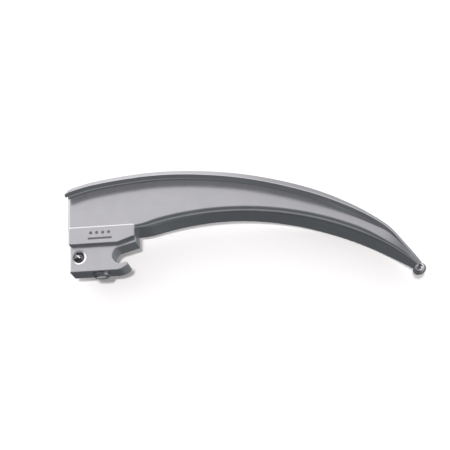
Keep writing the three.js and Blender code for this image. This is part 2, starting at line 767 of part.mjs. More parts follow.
function saddleOutline() {
  const outer = SADDLE_BORE + SADDLE_THICKNESS;
  const wall = GUIDE_OFFSET - FIT;
  const shelf = wall - SADDLE_THICKNESS;
  const leave = Math.acos(shelf / outer);
  const far = outer + SADDLE_FOOT;
  return [
    new THREE.Vector2(wall, far),
    new THREE.Vector2(shelf, far),
    ...arcPoints(0, 0, outer, leave, 270 * DEGREE - leave, 14),
    new THREE.Vector2(-far, -shelf),
    new THREE.Vector2(-far, -wall),
    new THREE.Vector2(-FOOT_START, -wall),
    ...arcPoints(0, 0, SADDLE_BORE, 230 * DEGREE, 40 * DEGREE, 14),
    new THREE.Vector2(wall, FOOT_START),
  ];
}

function buildSaddle(name, station) {
  const outline = saddleOutline();
  const place = (point, along) => {
    return onBlade(station, GUIDE_LIFT + point.y, GUIDE_Z + point.x).add(along);
  };
  const { angle } = rootAt(station);
  const half = new THREE.Vector3(Math.cos(angle), Math.sin(angle), 0).multiplyScalar(SADDLE_LENGTH / 2);
  const rings = [half.clone().negate(), half].map((along) => outline.map((point) => place(point, along)));
  return piece(name, 'ferrule_steel', toGeometry(outwardSolid(loft(rings, outline, outline))));
}

// Outlet: a sleeve on the end of the guide, closed by a glass window.
const OUTLET_WINDOW = 1;
const OUTLET_LIP = 0.2;
const OUTLET_BORE = BUNDLE_RADIUS + 2 * FIT;
const OUTLET_RADIUS = GUIDE_OFFSET - 2 * FIT;

function buildOutletFerrule() {
  const rear = 2 * FIT;
  const step = OUTLET_LENGTH - OUTLET_WINDOW - OUTLET_LIP;
  const windowSeat = BUNDLE_RADIUS + OUTLET_LIP + FIT;
  const profile = [
    [OUTLET_BORE, rear],
    [OUTLET_RADIUS, rear],
    [OUTLET_RADIUS, OUTLET_LENGTH - OUTLET_LIP],
    [OUTLET_RADIUS - OUTLET_LIP, OUTLET_LENGTH],
    [windowSeat, OUTLET_LENGTH],
    [windowSeat, step],
    [OUTLET_BORE, step],
    [OUTLET_BORE, rear],
  ];
  const ferrule = piece('outlet_ferrule', 'ferrule_steel', turned(profile, 32));
  pointAlongBlade(ferrule, GUIDE_END, GUIDE_LIFT, GUIDE_Z);
  return ferrule;
}

function buildOutletWindow() {
  const low = OUTLET_LENGTH - OUTLET_WINDOW - 3 * FIT;
  const high = OUTLET_LENGTH - 5 * FIT;
  const radius = BUNDLE_RADIUS + OUTLET_LIP;
  const dome = 0.18;
  const profile = [
    [0, low],
    [radius, low],
    [radius, high],
    [radius * 0.6, high + dome * 0.64],
    [0, high + dome],
  ];
  const window = piece('outlet_window', 'window_glass', turned(profile, 32));
  pointAlongBlade(window, GUIDE_END, GUIDE_LIFT, GUIDE_Z);
  return window;
}

// A grub screw in the rear face of the shoulder clamps the guide tube.
const SCREW_RADIUS = 1.2;
const SCREW_Y = 7;
const SCREW_RECESS = 0.4;
const SOCKET_RADIUS = 0.75;
const SOCKET_DEPTH = 1.5;

function buildGuideScrew() {
  const from = HEEL_REAR + SCREW_RECESS;
  const to = INLET_X - TUBE_RADIUS - 2 * FIT;
  const length = to - from;
  const chamfer = 0.25;
  const profile = [
    [0, 0],
    [SCREW_RADIUS - chamfer, 0],
    [SCREW_RADIUS, chamfer],
    [SCREW_RADIUS, length - 2 * chamfer],
    [SCREW_RADIUS - 2 * chamfer, length],
    [0, length],
  ];
  const socket = new THREE.CylinderGeometry(SOCKET_RADIUS, SOCKET_RADIUS, 2 * SOCKET_DEPTH, 6);
  socket.rotateX(90 * DEGREE);
  const body = toSolid(turned(profile, 24)).subtract(toSolid(socket));
  const screw = piece('guide_screw', 'screw_steel', toGeometry(body));
  screw.rotation.y = 90 * DEGREE;
  screw.position.set(from, SCREW_Y, MID_Z);
  return screw;
}

function buildLightGuide() {
  const group = new THREE.Group();
  group.name = 'light_guide';
  group.add(
    buildInletFerrule(),
    buildInletWindow(),
    buildInletSeal(),
    buildGuideTube(),
    buildFibreBundle(),
    buildGuideCollar(),
    buildSaddle('guide_saddle_rear', 44),
    buildSaddle('guide_saddle_front', 74),
    buildOutletFerrule(),
    buildOutletWindow(),
    buildGuideScrew(),
  );
  return group;
}

// ---------------------------------------------------------------- the whole blade

const drawing = new THREE.Group();
drawing.name = 'drawing';
drawing.add(buildBladeSheet(), buildHeelBlock(), buildDetents(), buildLightGuide());
drawing.updateMatrixWorld(true);

const bounds = new THREE.Box3().setFromObject(drawing, true);
const middle = bounds.getCenter(new THREE.Vector3());
drawing.position.set(-middle.x, -middle.y, -bounds.min.z);

const part = new THREE.Group();
part.name = 'laryngoscope_blade';
part.add(drawing);
part.updateMatrixWorld(true);

export default part;
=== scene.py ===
"""Looks of a curved, fibre-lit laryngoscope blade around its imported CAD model.

Shapes are drawn in millimetres about the axis of the handle's hinge pin: x runs to the tip, y is the
side the web stands on, z is the blade's left side. place() puts a drawn point into the part's frame.
"""

import bisect
import math

import bmesh
import bpy
from mathutils import Matrix, Vector
from mathutils.geometry import interpolate_bezier


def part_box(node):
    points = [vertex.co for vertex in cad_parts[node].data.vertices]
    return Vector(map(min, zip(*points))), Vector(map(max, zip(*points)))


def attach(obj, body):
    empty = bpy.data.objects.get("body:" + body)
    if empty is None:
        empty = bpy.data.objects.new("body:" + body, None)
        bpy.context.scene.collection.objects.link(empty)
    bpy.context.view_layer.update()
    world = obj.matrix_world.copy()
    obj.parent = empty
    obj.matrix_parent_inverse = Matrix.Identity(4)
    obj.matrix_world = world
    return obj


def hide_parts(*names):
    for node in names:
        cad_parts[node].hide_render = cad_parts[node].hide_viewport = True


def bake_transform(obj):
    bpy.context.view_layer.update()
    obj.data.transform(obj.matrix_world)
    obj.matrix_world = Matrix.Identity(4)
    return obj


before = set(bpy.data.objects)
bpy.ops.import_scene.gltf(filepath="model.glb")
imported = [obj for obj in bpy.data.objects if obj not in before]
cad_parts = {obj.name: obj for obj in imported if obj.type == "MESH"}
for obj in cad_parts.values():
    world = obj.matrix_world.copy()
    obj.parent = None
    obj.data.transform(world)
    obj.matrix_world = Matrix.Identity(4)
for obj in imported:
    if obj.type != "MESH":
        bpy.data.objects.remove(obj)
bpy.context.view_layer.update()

MM = 0.001

# ---- driving dimensions, in mm

# A running gap between fitted pieces.
FIT = 0.05

# The pressed sheet: spatula, web and flange in one. Its right edge stays INSIDE within the CAD's.
INSIDE = 0.02
SHEET = 1.6
ROOT_BEND = 2.4
FOLD_RADIUS = 1.2
INNER_RADIUS = 1.2
EDGE_RADIUS = 0.72
FLANGE_DROOP = math.radians(29)
TIP_DROOP = math.radians(40)
LIP_RADIUS = 0.25
LIP_CORNER = 0.08
FLANGE_WIDTH = 8.48

# Root line: the spatula's underside at the web, seen from the side.
HEEL_REAR = -18.5
HEEL_FRONT = 5.8
ROOT_HEIGHT = 9.3
SHEET_STANDOFF = 0.4
SWEEP_UP = math.radians(13)
SWEEP_UP_RADIUS = 30
SWEEP_UP_START = 24.4
MAIN_RADIUS = 113
DISTAL_RADIUS = 105
DISTAL_START = 90.4
SHEET_END = 131

BEAD_RADIUS = 1.82

# Heel block: a wide shoulder over a narrow tongue with the hook notch.
BLOCK_LEFT = 0.9
OVERHANG = 2.8
TONGUE_THICKNESS = 9.4
TONGUE_LEFT = BLOCK_LEFT - OVERHANG
TONGUE_RIGHT = TONGUE_LEFT - TONGUE_THICKNESS
BLOCK_RIGHT = TONGUE_RIGHT - OVERHANG
MID_Z = (TONGUE_LEFT + TONGUE_RIGHT) / 2
SHOULDER_BOTTOM = 4.2
SHOULDER_FRONT_BOTTOM = 6.2
TONGUE_BOTTOM = -5.5
LIP_RISE = 1.45
NOTCH_RADIUS = 2.95
NOSE_X = 1.95
NOSE_Y = -3.25
NOSE_RADIUS = 0.72
JAW_X = -2
JAW_Y = 1.5
CORNER_CUT = 3.5
SLOT_SLOPE = math.radians(14.7)

# Sprung detent balls, one on each side of the tongue.
DETENT_X = -15.2
BALL_RADIUS = 2.2
BALL_PROUD = 0.88
BALL_DEPTH = BALL_RADIUS - BALL_PROUD
RING_RADIUS = 2.93
RING_LENGTH = 1.7
RING_DISH = 0.14
RING_MOUTH = 2.0
RING_WALL_START = BALL_RADIUS + 0.08
RING_SEAT_ROOM = 0.02
DETENT_BORE = 2.45
SPRING_RADIUS = 1.15
SPRING_WIRE = 0.17
SPRING_TURNS = 4

# Light inlet under the heel, and the guide that carries the light to the outlet.
INLET_X = -7.7
BOSS_RADIUS = 3.3
BOSS_PROUD = 1.4
BOSS_BEVEL = 0.9
BOSS_RIM = 0.3
BOSS_FACE = TONGUE_BOTTOM - BOSS_PROUD
SHANK_RADIUS = 2.3
SHANK_TOP = 0
SHANK_ROOM = 0.3
WINDOW_SEAT = 2.0
WINDOW_THICKNESS = 1.1
WINDOW_RECESS = 0.15
WINDOW_DOME = 0.12
SEAL_SEAT = BOSS_RADIUS + 2 * FIT
SEAL_DEPTH = 0.8
SEAL_WIRE = 0.36
TUBE_RADIUS = 1.6
TUBE_BORE = 1.25
BUNDLE_RADIUS = 1.1
GUIDE_OFFSET = 1.8
GUIDE_Z = -SHEET - GUIDE_OFFSET
GUIDE_LIFT = SHEET + GUIDE_OFFSET
GUIDE_RISE_END = 12.4
BEND_RISE = 5.2
BEND_APPROACH = 9
BEND_LIFT = 3.4
GUIDE_START = 26
GUIDE_END = 86
OUTLET_LENGTH = 4
OUTLET_WINDOW = 1
OUTLET_LIP = 0.2
OUTLET_BORE = BUNDLE_RADIUS + 2 * FIT
OUTLET_RADIUS = GUIDE_OFFSET - 2 * FIT
SADDLE_LENGTH = 3
SADDLE_BORE = TUBE_RADIUS + 0.06
SADDLE_STRAP = 0.54
SADDLE_FLAT = 0.5
SADDLE_FOOT = 1.7
FOOT_START = 0.9
COLLAR_RADIUS = TUBE_RADIUS + 1.3
COLLAR_HEIGHT = 1
SCREW_RADIUS = 1.2
SCREW_Y = 7
SCREW_RECESS = 0.4
SCREW_CHAMFER = 0.25
SOCKET_RADIUS = 0.72
SOCKET_DEPTH = 1.4

# The drawing is fixed to the part's frame by the left detent ball.
BALL_LOW, BALL_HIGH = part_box("detent_ball_left")
BALL_DRAWN = Vector((DETENT_X, 0, TONGUE_LEFT - BALL_DEPTH))
ROW_ORIGIN = (Vector(BALL_LOW) + Vector(BALL_HIGH)) / 2 - BALL_DRAWN * MM


def place(point):
    """A drawn point, in mm, as a point of the part's frame, in metres."""
    return Vector(point) * MM + ROW_ORIGIN


# ---- outlines and curves


def smooth_along(pairs):
    """A value that changes smoothly along the blade, from (station, value) pairs."""
    stations = [pair[0] for pair in pairs]
    last = len(pairs) - 1

    def slope(i):
        before, after = pairs[max(i - 1, 0)], pairs[min(i + 1, last)]
        return (after[1] - before[1]) / (after[0] - before[0])

    def value(station):
        if station <= stations[0]:
            return pairs[0][1]
        if station >= stations[-1]:
            return pairs[-1][1]
        i = bisect.bisect_right(stations, station) - 1
        span = stations[i + 1] - stations[i]
        t = (station - stations[i]) / span
        rest = 1 - t
        start = rest * rest * ((1 + 2 * t) * pairs[i][1] + t * span * slope(i))
        end = t * t * ((3 - 2 * t) * pairs[i + 1][1] - rest * span * slope(i + 1))
        return start + end

    return value


def smoothstep(value, low, high):
    """0 up to low, 1 from high on, and a smooth climb between."""
    t = min(max((value - low) / (high - low), 0), 1)
    return t * t * (3 - 2 * t)


def arc(x, y, radius, start, end, count):
    """Points on an arc, angles in degrees."""
    angles = [math.radians(start + (end - start) * i / count) for i in range(count + 1)]
    return [(x + radius * math.cos(a), y + radius * math.sin(a)) for a in angles]


def rounded_outline(corners, steps):
    """A closed outline from (x, y, radius) corners; each rounded corner gets steps + 1 points."""
    outline = []
    for i, (x, y, radius) in enumerate(corners):
        here = Vector((x, y))
        if not radius:
            outline.append((x, y))
            continue
        back = Vector(corners[i - 1][:2]) - here
        on = Vector(corners[(i + 1) % len(corners)][:2]) - here
        room = 0.45 * min(back.length, on.length)
        back.normalize()
        on.normalize()
        half = math.acos(min(max(back.dot(on), -1), 1)) / 2
        reach = min(radius / math.tan(half), room)
        centre = here + (back + on).normalized() * (reach / math.cos(half))
        start = here + back * reach - centre
        end = here + on * reach - centre
        turn = math.atan2(start.x * end.y - start.y * end.x, start.dot(end))
        for k in range(steps + 1):
            spoke = Matrix.Rotation(turn * k / steps, 2) @ start
            outline.append(tuple(centre + spoke))
    return outline


def inset(corners, depth):
    """The corners of an anticlockwise outline moved inwards by depth."""
    moved = []
    for i, (x, y, radius) in enumerate(corners):
        here = Vector((x, y))
        into = (here - Vector(corners[i - 1][:2])).normalized()
        out = (Vector(corners[(i + 1) % len(corners)][:2]) - here).normalized()
        side_in = Vector((-into.y, into.x))
        side_out = Vector((-out.y, out.x))
        step = (side_in + side_out) * (depth / (1 + side_in.dot(side_out)))
        convex = into.x * out.y - into.y * out.x > 0
        moved.append((x + step.x, y + step.y, max(radius - depth, 0.02) if convex else radius + depth))
    return moved


def catmull_rom(points, per_span):
    """A smooth line through flat or solid points."""
    padded = [points[0], *points, points[-1]]
    line = []
    for i in range(len(points) - 1):
        a, b, c, d = (Vector(p) for p in padded[i:i + 4])
        for k in range(per_span):
            t = k / per_span
            line.append(0.5 * (2 * b + (c - a) * t + (2 * a - 5 * b + 4 * c - d) * t ** 2
                               + (3 * b - a - 3 * c + d) * t ** 3))
    line.append(Vector(points[-1]))
    return line


# ---- the blade's root line

ROOT_STEP = 0.2


def curvature_at(station):
    if station < SWEEP_UP_START:
        return 0
    if station < SWEEP_UP_START + SWEEP_UP_RADIUS * SWEEP_UP:
        return 1 / SWEEP_UP_RADIUS
    return -1 / MAIN_RADIUS if station < DISTAL_START else -1 / DISTAL_RADIUS


def walk_root_line():
    line = [(HEEL_REAR - SHEET_STANDOFF, ROOT_HEIGHT, 0.0)]
    for i in range(int((SHEET_END + 5) / ROOT_STEP)):
        x, y, angle = line[-1]
        after = angle + curvature_at(i * ROOT_STEP) * ROOT_STEP
        middle = (angle + after) / 2
        line.append((x + math.cos(middle) * ROOT_STEP, y + math.sin(middle) * ROOT_STEP, after))
    return line


ROOT_LINE = walk_root_line()


def root_at(station):
    """(x, y, angle) of the root line."""
    place_on = max(station, 0) / ROOT_STEP
    i = int(place_on)
    t = place_on - i
    return tuple(a * (1 - t) + b * t for a, b in zip(ROOT_LINE[i], ROOT_LINE[i + 1]))


def on_blade(station, height, z):
    """A point given by its station, its height above the root line and its z."""
    x, y, angle = root_at(station)
    return Vector((x - math.sin(angle) * height, y + math.cos(angle) * height, z))


def blade_axes(station):
    """Directions across (to the right), up and forward at a station."""
    angle = root_at(station)[2]
    forward = Vector((math.cos(angle), math.sin(angle), 0))
    up = Vector((-forward.y, forward.x, 0))
    return up.cross(forward), up, forward


# ---- mesh makers


def add_object(name, data):
    obj = bpy.data.objects.new(name, data)
    bpy.context.scene.collection.objects.link(obj)
    return obj


def make_piece(name, mesh, node, slot, body="blade"):
    """Puts a finished mesh in the scene as the looks of a CAD node. It rides on a body, unless body is
    None, and then it is left without one."""
    obj = add_object(name, mesh)
    mesh.materials.append(MATERIALS[slot])
    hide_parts(node)
    if body:
        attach(obj, body)
    return obj


def to_mesh(name, points, faces, sharp_angle=40):
    """A closed smooth-shaded mesh from drawn points."""
    mesh = bpy.data.meshes.new(name)
    mesh.from_pydata([place(p) for p in points], [], faces)
    shape = bmesh.new()
    shape.from_mesh(mesh)
    bmesh.ops.remove_doubles(shape, verts=shape.verts, dist=1e-7)
    bmesh.ops.dissolve_degenerate(shape, edges=shape.edges, dist=1e-8)
    bmesh.ops.recalc_face_normals(shape, faces=shape.faces)
    shape.to_mesh(mesh)
    shape.free()
    finish_shading(mesh, sharp_angle)
    return mesh


def finish_shading(mesh, sharp_angle):
    mesh.polygons.foreach_set("use_smooth", [True] * len(mesh.polygons))
    mesh.set_sharp_from_angle(angle=math.radians(sharp_angle))
    mesh.update()


def ring_faces(rings, count, closed=False):
    """Quads between rings of count points each."""
    faces = []
    for r in range(rings if closed else rings - 1):
        here, there = r * count, ((r + 1) % rings) * count
        for k in range(count):
            n = (k + 1) % count
            faces.append((here + k, here + n, there + n, there + k))
    return faces


def loft(name, rings, sharp_angle=40):
    """A closed body through rings of points, with flat ends."""
    count = len(rings[0])
    points = [p for ring in rings for p in ring]
    faces = ring_faces(len(rings), count)
    last = (len(rings) - 1) * count
    faces.append(tuple(range(count - 1, -1, -1)))
    faces.append(tuple(range(last, last + count)))
    return to_mesh(name, points, faces, sharp_angle)


def turned(name, profile, origin, axis, up, sides=64, sharp_angle=40):
    """A turned piece: (radius, distance) pairs about an axis through origin. A profile that doesn't
    start and end on the axis closes on itself."""
    axis, up = Vector(axis), Vector(up)
    side = axis.cross(up)
    closed = profile[0][0] > 0
    points = []
    for radius, distance in profile:
        for k in range(sides):
            angle = 2 * math.pi * k / sides
            spoke = up * math.cos(angle) + side * math.sin(angle)
            points.append(Vector(origin) + axis * distance + spoke * radius)
    faces = ring_faces(len(profile), sides, closed)
    return to_mesh(name, points, faces, sharp_angle)


def sweep_rings(path, stations, sides):
    """Rings about a smooth path. stations are (distance along the path, radius)."""
    lengths = [0.0]
    for a, b in zip(path, path[1:]):
        lengths.append(lengths[-1] + (b - a).length)
    frames = carried_frames(path)
    rings = []
    for distance, radius in stations:
        i = min(max(bisect.bisect_right(lengths, distance) - 1, 0), len(path) - 2)
        t = (distance - lengths[i]) / (lengths[i + 1] - lengths[i])
        centre = path[i].lerp(path[i + 1], t)
        side = frames[i][0].lerp(frames[i + 1][0], min(max(t, 0), 1))
        up = frames[i][1].lerp(frames[i + 1][1], min(max(t, 0), 1))
        rings.append([
            centre + side * (radius * math.cos(2 * math.pi * k / sides))
            + up * (radius * math.sin(2 * math.pi * k / sides))
            for k in range(sides)
        ])
    return rings


def carried_frames(path):
    """Two directions square to the path at each point, carried along it without twist."""
    frames = []
    tangent = (path[1] - path[0]).normalized()
    side = tangent.orthogonal().normalized()
    for i in range(len(path)):
        before, after = path[max(i - 1, 0)], path[min(i + 1, len(path) - 1)]
        turned_to = (after - before).normalized()
        side = tangent.rotation_difference(turned_to) @ side
        tangent = turned_to
        frames.append((side, tangent.cross(side)))
    return frames


def path_length(path):
    return sum((b - a).length for a, b in zip(path, path[1:]))


def sweep(name, path, stations, sides, sharp_angle=40):
    return loft(name, sweep_rings(path, stations, sides), sharp_angle)


# ---- materials


class Nodes:
    """Short names for building a node tree."""

    def __init__(self, tree):
        self.tree = tree

    def add(self, kind, settings=None, **inputs):
        node = self.tree.nodes.new("ShaderNode" + kind)
        for key, value in (settings or {}).items():
            setattr(node, key, value)
        for key, value in inputs.items():
            self.put(node, key.replace("_", " "), value)
        return node

    def put(self, node, key, value):
        socket = node.inputs[int(key)] if key.isdigit() else node.inputs[key]
        if isinstance(value, bpy.types.NodeSocket):
            self.tree.links.new(value, socket)
        else:
            socket.default_value = value

    def math(self, operation, a, b=None):
        node = self.add("Math", {"operation": operation})
        self.put(node, "0", a)
        if b is not None:
            self.put(node, "1", b)
        return node.outputs[0]

    def plus(self, a, b):
        return self.math("ADD", a, b)

    def minus(self, a, b):
        return self.math("SUBTRACT", a, b)

    def times(self, a, b):
        return self.math("MULTIPLY", a, b)

    def ramp(self, value, low, high, to_low, to_high, smooth=True):
        """to_low where value is low, to_high where it is high, and a climb between."""
        settings = {"interpolation_type": "SMOOTHSTEP" if smooth else "LINEAR"}
        node = self.add("MapRange", settings, Value=value)
        limits = {"From Min": low, "From Max": high, "To Min": to_low, "To Max": to_high}
        for key, number in limits.items():
            node.inputs[key].default_value = number
        return node.outputs[0]

    def noise(self, vector, scale, detail=3.0, roughness=0.5):
        return self.add(
            "TexNoise", Vector=vector, Scale=scale, Detail=detail, Roughness=roughness
        ).outputs["Fac"]

    def stretch(self, vector, scale):
        return self.add("Mapping", Vector=vector, Scale=scale).outputs["Vector"]

    def mix_colour(self, factor, a, b):
        node = self.add("Mix", {"data_type": "RGBA"})
        self.put(node, "0", factor)
        self.put(node, "6", a)
        self.put(node, "7", b)
        return node.outputs[2]


def new_material(name):
    material = bpy.data.materials.new(name)
    material.use_nodes = True
    nodes = Nodes(material.node_tree)
    shader = material.node_tree.nodes["Principled BSDF"]
    where = nodes.add("TexCoord").outputs["Object"]
    return material, nodes, shader, where


# The mesh attribute that says how far a rim is rubbed bright.
RUBBED = "rubbed"


def steel(name, light, dark, roughness, spread, grain, grain_depth, marked_rims=False):
    """Stainless steel: cloudy tone, fine directional grain and brighter rubbed edges, which come from
    the mesh's RUBBED values where marked_rims is set. Also returns what a mark on it needs."""
    material, nodes, shader, where = new_material(name)
    cloud = nodes.noise(where, 120, 4.0, 0.55)
    lines = nodes.noise(nodes.stretch(where, grain), 1.0, 4.0, 0.65)
    specks = nodes.noise(where, 5200, 2.0)
    if marked_rims:
        rim = nodes.add("Attribute", {"attribute_name": RUBBED}).outputs["Fac"]
        edge = nodes.times(rim, nodes.ramp(cloud, 0.3, 0.6, 0.2, 0.6))
    else:
        pointiness = nodes.add("NewGeometry").outputs["Pointiness"]
        edge = nodes.ramp(pointiness, 0.52, 0.6, 0.0, 0.5)
    tone = nodes.plus(nodes.times(cloud, 0.6), nodes.times(lines, 0.4))
    base = nodes.mix_colour(nodes.ramp(tone, 0.3, 0.7, 0.0, 1.0), dark, light)
    polished = tuple(min(c * 1.12, 1) for c in light[:3]) + (1,)
    nodes.put(shader, "Base Color", nodes.mix_colour(edge, base, polished))
    shader.inputs["Metallic"].default_value = 1.0
    rough = nodes.ramp(tone, 0.25, 0.75, roughness - spread, roughness + spread, smooth=False)
    nodes.put(shader, "Roughness", nodes.minus(rough, nodes.times(edge, 0.08)))
    height = nodes.plus(lines, nodes.times(specks, 0.35))
    bump = nodes.add("Bump", Strength=0.25, Distance=grain_depth * MM, Height=height)
    nodes.put(shader, "Normal", bump.outputs[0])
    return material, nodes, shader, where


SATIN_LIGHT = (0.66, 0.655, 0.675, 1)
SATIN_DARK = (0.60, 0.60, 0.615, 1)
SATIN_ROUGHNESS = 0.24


def sheet_steel():
    grain = (300, 2400, 2400)
    return steel("satin_sheet_steel", SATIN_LIGHT, SATIN_DARK, SATIN_ROUGHNESS, 0.04, grain, 0.002)[0]


def block_steel():
    """The heel's satin steel, with a laser-etched row of dots and a bar on the shoulder's left face."""
    grain = (500, 2400, 2400)
    material, nodes, shader, where = steel(
        "satin_block_steel", SATIN_LIGHT, SATIN_DARK, SATIN_ROUGHNESS, 0.04, grain, 0.002, marked_rims=True
    )
    add_etched_mark(nodes, shader, where)
    return material


# The etched mark: where it starts, its length, the row of dots and the bar under it, in mm.
ETCH_X = -11.3
ETCH_LENGTH = 8.8
ETCH_ROW_Y = 8.2
ETCH_DOT_PITCH = 2.2
ETCH_DOT_RADIUS = 0.55
ETCH_BAR_Y = 6.1
ETCH_BAR_HALF = 0.34
ETCH_BLUR = 0.08
ETCH_COLOUR = (0.13, 0.12, 0.125, 1)


def etched_dots(nodes, along, off_row):
    half_pitch = ETCH_DOT_PITCH / 2
    to_dot = nodes.minus(half_pitch, nodes.math("PINGPONG", along, half_pitch))
    squares = nodes.plus(nodes.math("POWER", to_dot, 2), nodes.math("POWER", off_row, 2))
    return nodes.ramp(nodes.math("SQRT", squares), ETCH_DOT_RADIUS, ETCH_DOT_RADIUS + ETCH_BLUR, 1.0, 0.0)


def etched_bar(nodes, off_bar):
    return nodes.ramp(nodes.math("ABSOLUTE", off_bar), ETCH_BAR_HALF, ETCH_BAR_HALF + ETCH_BLUR, 1.0, 0.0)


def add_etched_mark(nodes, shader, where):
    """Darkens a dotted row and a bar on the label face only."""
    x, y, z = nodes.add("SeparateXYZ", Vector=where).outputs

    def from_place(value, origin):
        return nodes.math("DIVIDE", nodes.minus(value, origin), MM)

    along = from_place(x, place((ETCH_X, 0, 0)).x)
    dots = etched_dots(nodes, along, from_place(y, place((0, ETCH_ROW_Y, 0)).y))
    bar = etched_bar(nodes, from_place(y, place((0, ETCH_BAR_Y, 0)).y))
    begun = nodes.math("GREATER_THAN", along, 0.0)
    inside = nodes.times(begun, nodes.math("LESS_THAN", along, ETCH_LENGTH))
    on_face = nodes.math("GREATER_THAN", z, place((0, 0, BLOCK_LEFT - 0.1)).z)
    marks = nodes.times(nodes.math("MAXIMUM", dots, bar), inside)
    worn = nodes.ramp(nodes.noise(where, 2400, 2.0), 0.3, 0.55, 0.55, 0.9)
    strength = nodes.times(nodes.times(marks, on_face), worn)
    base = shader.inputs["Base Color"].links[0].from_socket
    rough = shader.inputs["Roughness"].links[0].from_socket
    nodes.put(shader, "Base Color", nodes.mix_colour(strength, base, ETCH_COLOUR))
    nodes.put(shader, "Roughness", nodes.plus(rough, nodes.times(strength, 0.25)))


def turned_steel(name, light, roughness):
    """Steel with the fine rings that a lathe or a drawing die leaves."""
    dark = tuple(c * 0.86 for c in light[:3]) + (1,)
    return steel(name, light, dark, roughness, 0.04, (3000, 3000, 700), 0.003)[0]


def ball_steel_painted_dark():
    material, nodes, shader, where = new_material("ball_steel_painted_dark")
    haze = nodes.noise(where, 900, 4.0, 0.6)
    # The base colour is painted dark: a painted reflection of the dark surroundings that the mirror-bright
    # ball shows. The haze only varies it at random.
    nodes.put(shader, "Base Color", nodes.mix_colour(haze, (0.13, 0.12, 0.125, 1), (0.18, 0.17, 0.175, 1)))
    shader.inputs["Metallic"].default_value = 1.0
    nodes.put(shader, "Roughness", nodes.ramp(haze, 0.35, 0.7, 0.05, 0.13))
    specks = nodes.noise(where, 3600, 2.0)
    pits = nodes.add("Bump", Strength=0.15, Distance=0.004 * MM, Height=specks)
    nodes.put(shader, "Normal", pits.outputs[0])
    return material


def glass_window():
    material, nodes, shader, where = new_material("polished_glass")
    haze = nodes.noise(where, 1400, 3.0)
    nodes.put(shader, "Base Color", nodes.mix_colour(haze, (0.80, 0.86, 0.86, 1), (0.93, 0.96, 0.96, 1)))
    nodes.put(shader, "Roughness", nodes.ramp(haze, 0.3, 0.7, 0.02, 0.08))
    shader.inputs["IOR"].default_value = 1.5
    shader.inputs["Transmission Weight"].default_value = 0.75
    return material


def fibre_glass():
    """Fibre ends packed side by side, pale with dark cement between them."""
    material, nodes, shader, where = new_material("fused_fibres")
    cells = nodes.add("TexVoronoi", Vector=where, Scale=4200.0).outputs["Distance"]
    cement = nodes.ramp(cells, 0.25, 0.7, 0.0, 1.0)
    nodes.put(shader, "Base Color", nodes.mix_colour(cement, (0.30, 0.27, 0.21, 1), (0.07, 0.06, 0.05, 1)))
    nodes.put(shader, "Roughness", nodes.ramp(cells, 0.2, 0.6, 0.15, 0.5))
    return material


def seal_rubber():
    material, nodes, shader, where = new_material("seal_rubber")
    dust = nodes.noise(where, 1900, 4.0, 0.65)
    nodes.put(shader, "Base Color", nodes.mix_colour(dust, (0.012, 0.012, 0.013, 1), (0.05, 0.05, 0.052, 1)))
    nodes.put(shader, "Roughness", nodes.ramp(dust, 0.3, 0.7, 0.55, 0.8))
    bump = nodes.add("Bump", Strength=0.4, Distance=0.01 * MM, Height=dust)
    nodes.put(shader, "Normal", bump.outputs[0])
    return material


def screw_steel():
    light = (0.27, 0.27, 0.29, 1)
    dark = (0.19, 0.19, 0.2, 1)
    return steel("dark_screw_steel", light, dark, 0.36, 0.06, (700, 3000, 3000), 0.004)[0]


# One material for each material slot of the part.
MATERIALS = {
    "sheet_steel": sheet_steel(),
    "block_steel": block_steel(),
    "ball_steel": ball_steel_painted_dark(),
    "ring_steel": turned_steel("bright_turned_steel", (0.86, 0.86, 0.87, 1), 0.2),
    "ferrule_steel": turned_steel("ferrule_steel", (0.42, 0.42, 0.44, 1), 0.28),
    "spring_steel": turned_steel("drawn_spring_steel", (0.5, 0.5, 0.5, 1), 0.3),
    "guide_tube": turned_steel("drawn_tube_steel", (0.72, 0.72, 0.73, 1), 0.22),
    "screw_steel": screw_steel(),
    "window_glass": glass_window(),
    "fibre_glass": fibre_glass(),
    "seal_rubber": seal_rubber(),
}

# ---- the pressing

# The crown is the sharp corner of the fold between web and flange, seen from the side.
CROWN = catmull_rom(
    [(-19.5, 26.2), (-8.5, 28.95), (10, 30.85), (28, 30.45), (48, 27.5), (68.5, 21.5), (84, 14.2),
     (96.2, 5.8), (102.85, -2), (109.1, -10.5)], 40)


def crown_height(station):
    """Height of the fold's corner above the root line."""
    x, y, angle = root_at(station)
    forward = Vector((math.cos(angle), math.sin(angle)))
    up = Vector((-forward.y, forward.x))
    relative = [point - Vector((x, y)) for point in CROWN]
    i = next(k for k, point in enumerate(relative) if point.dot(forward) > 0)
    before, after = relative[i - 1], relative[i]
    t = -before.dot(forward) / (after.dot(forward) - before.dot(forward))
    return before.lerp(after, t).dot(up)


# Plan shape: the left edge draws in near the tip, the right edge is narrow behind and broad ahead.
left_edge = smooth_along([(0, 0), (112, 0), (120, -0.3), (126, -1.5), (SHEET_END, -3.6)])
right_edge = smooth_along([
    (0, -14.15), (30, -14.2), (60, -13.5), (82, -15.3), (98, -16.6), (112, -16.3), (122, -15.4),
    (SHEET_END, -12.8)])

# Near the tip the flange leans over, narrows and thins out until only a bevel is left.
DROOP_FROM = 106
DROOP_TO = 124
LIP_FROM = 112
LIP_TO = 126
THINNEST_LIP = 0.4
SHARPEST_LIP = 0.05
TIP_INNER_RADIUS = 0.3
TIP_ROOT_BEND = 1.2
flange_width = smooth_along([
    (0, FLANGE_WIDTH), (84, FLANGE_WIDTH), (97, 7), (108, 4.9), (115, 3.2), (120, 2.7), (LIP_TO, 2.3)])

# Behind the rail the web's root bends sharper, and it opens out to ROOT_BEND ahead of it.
HEEL_ROOT_BEND = 1.4
HEEL_BEND_END = 23
MAIN_BEND_START = 34


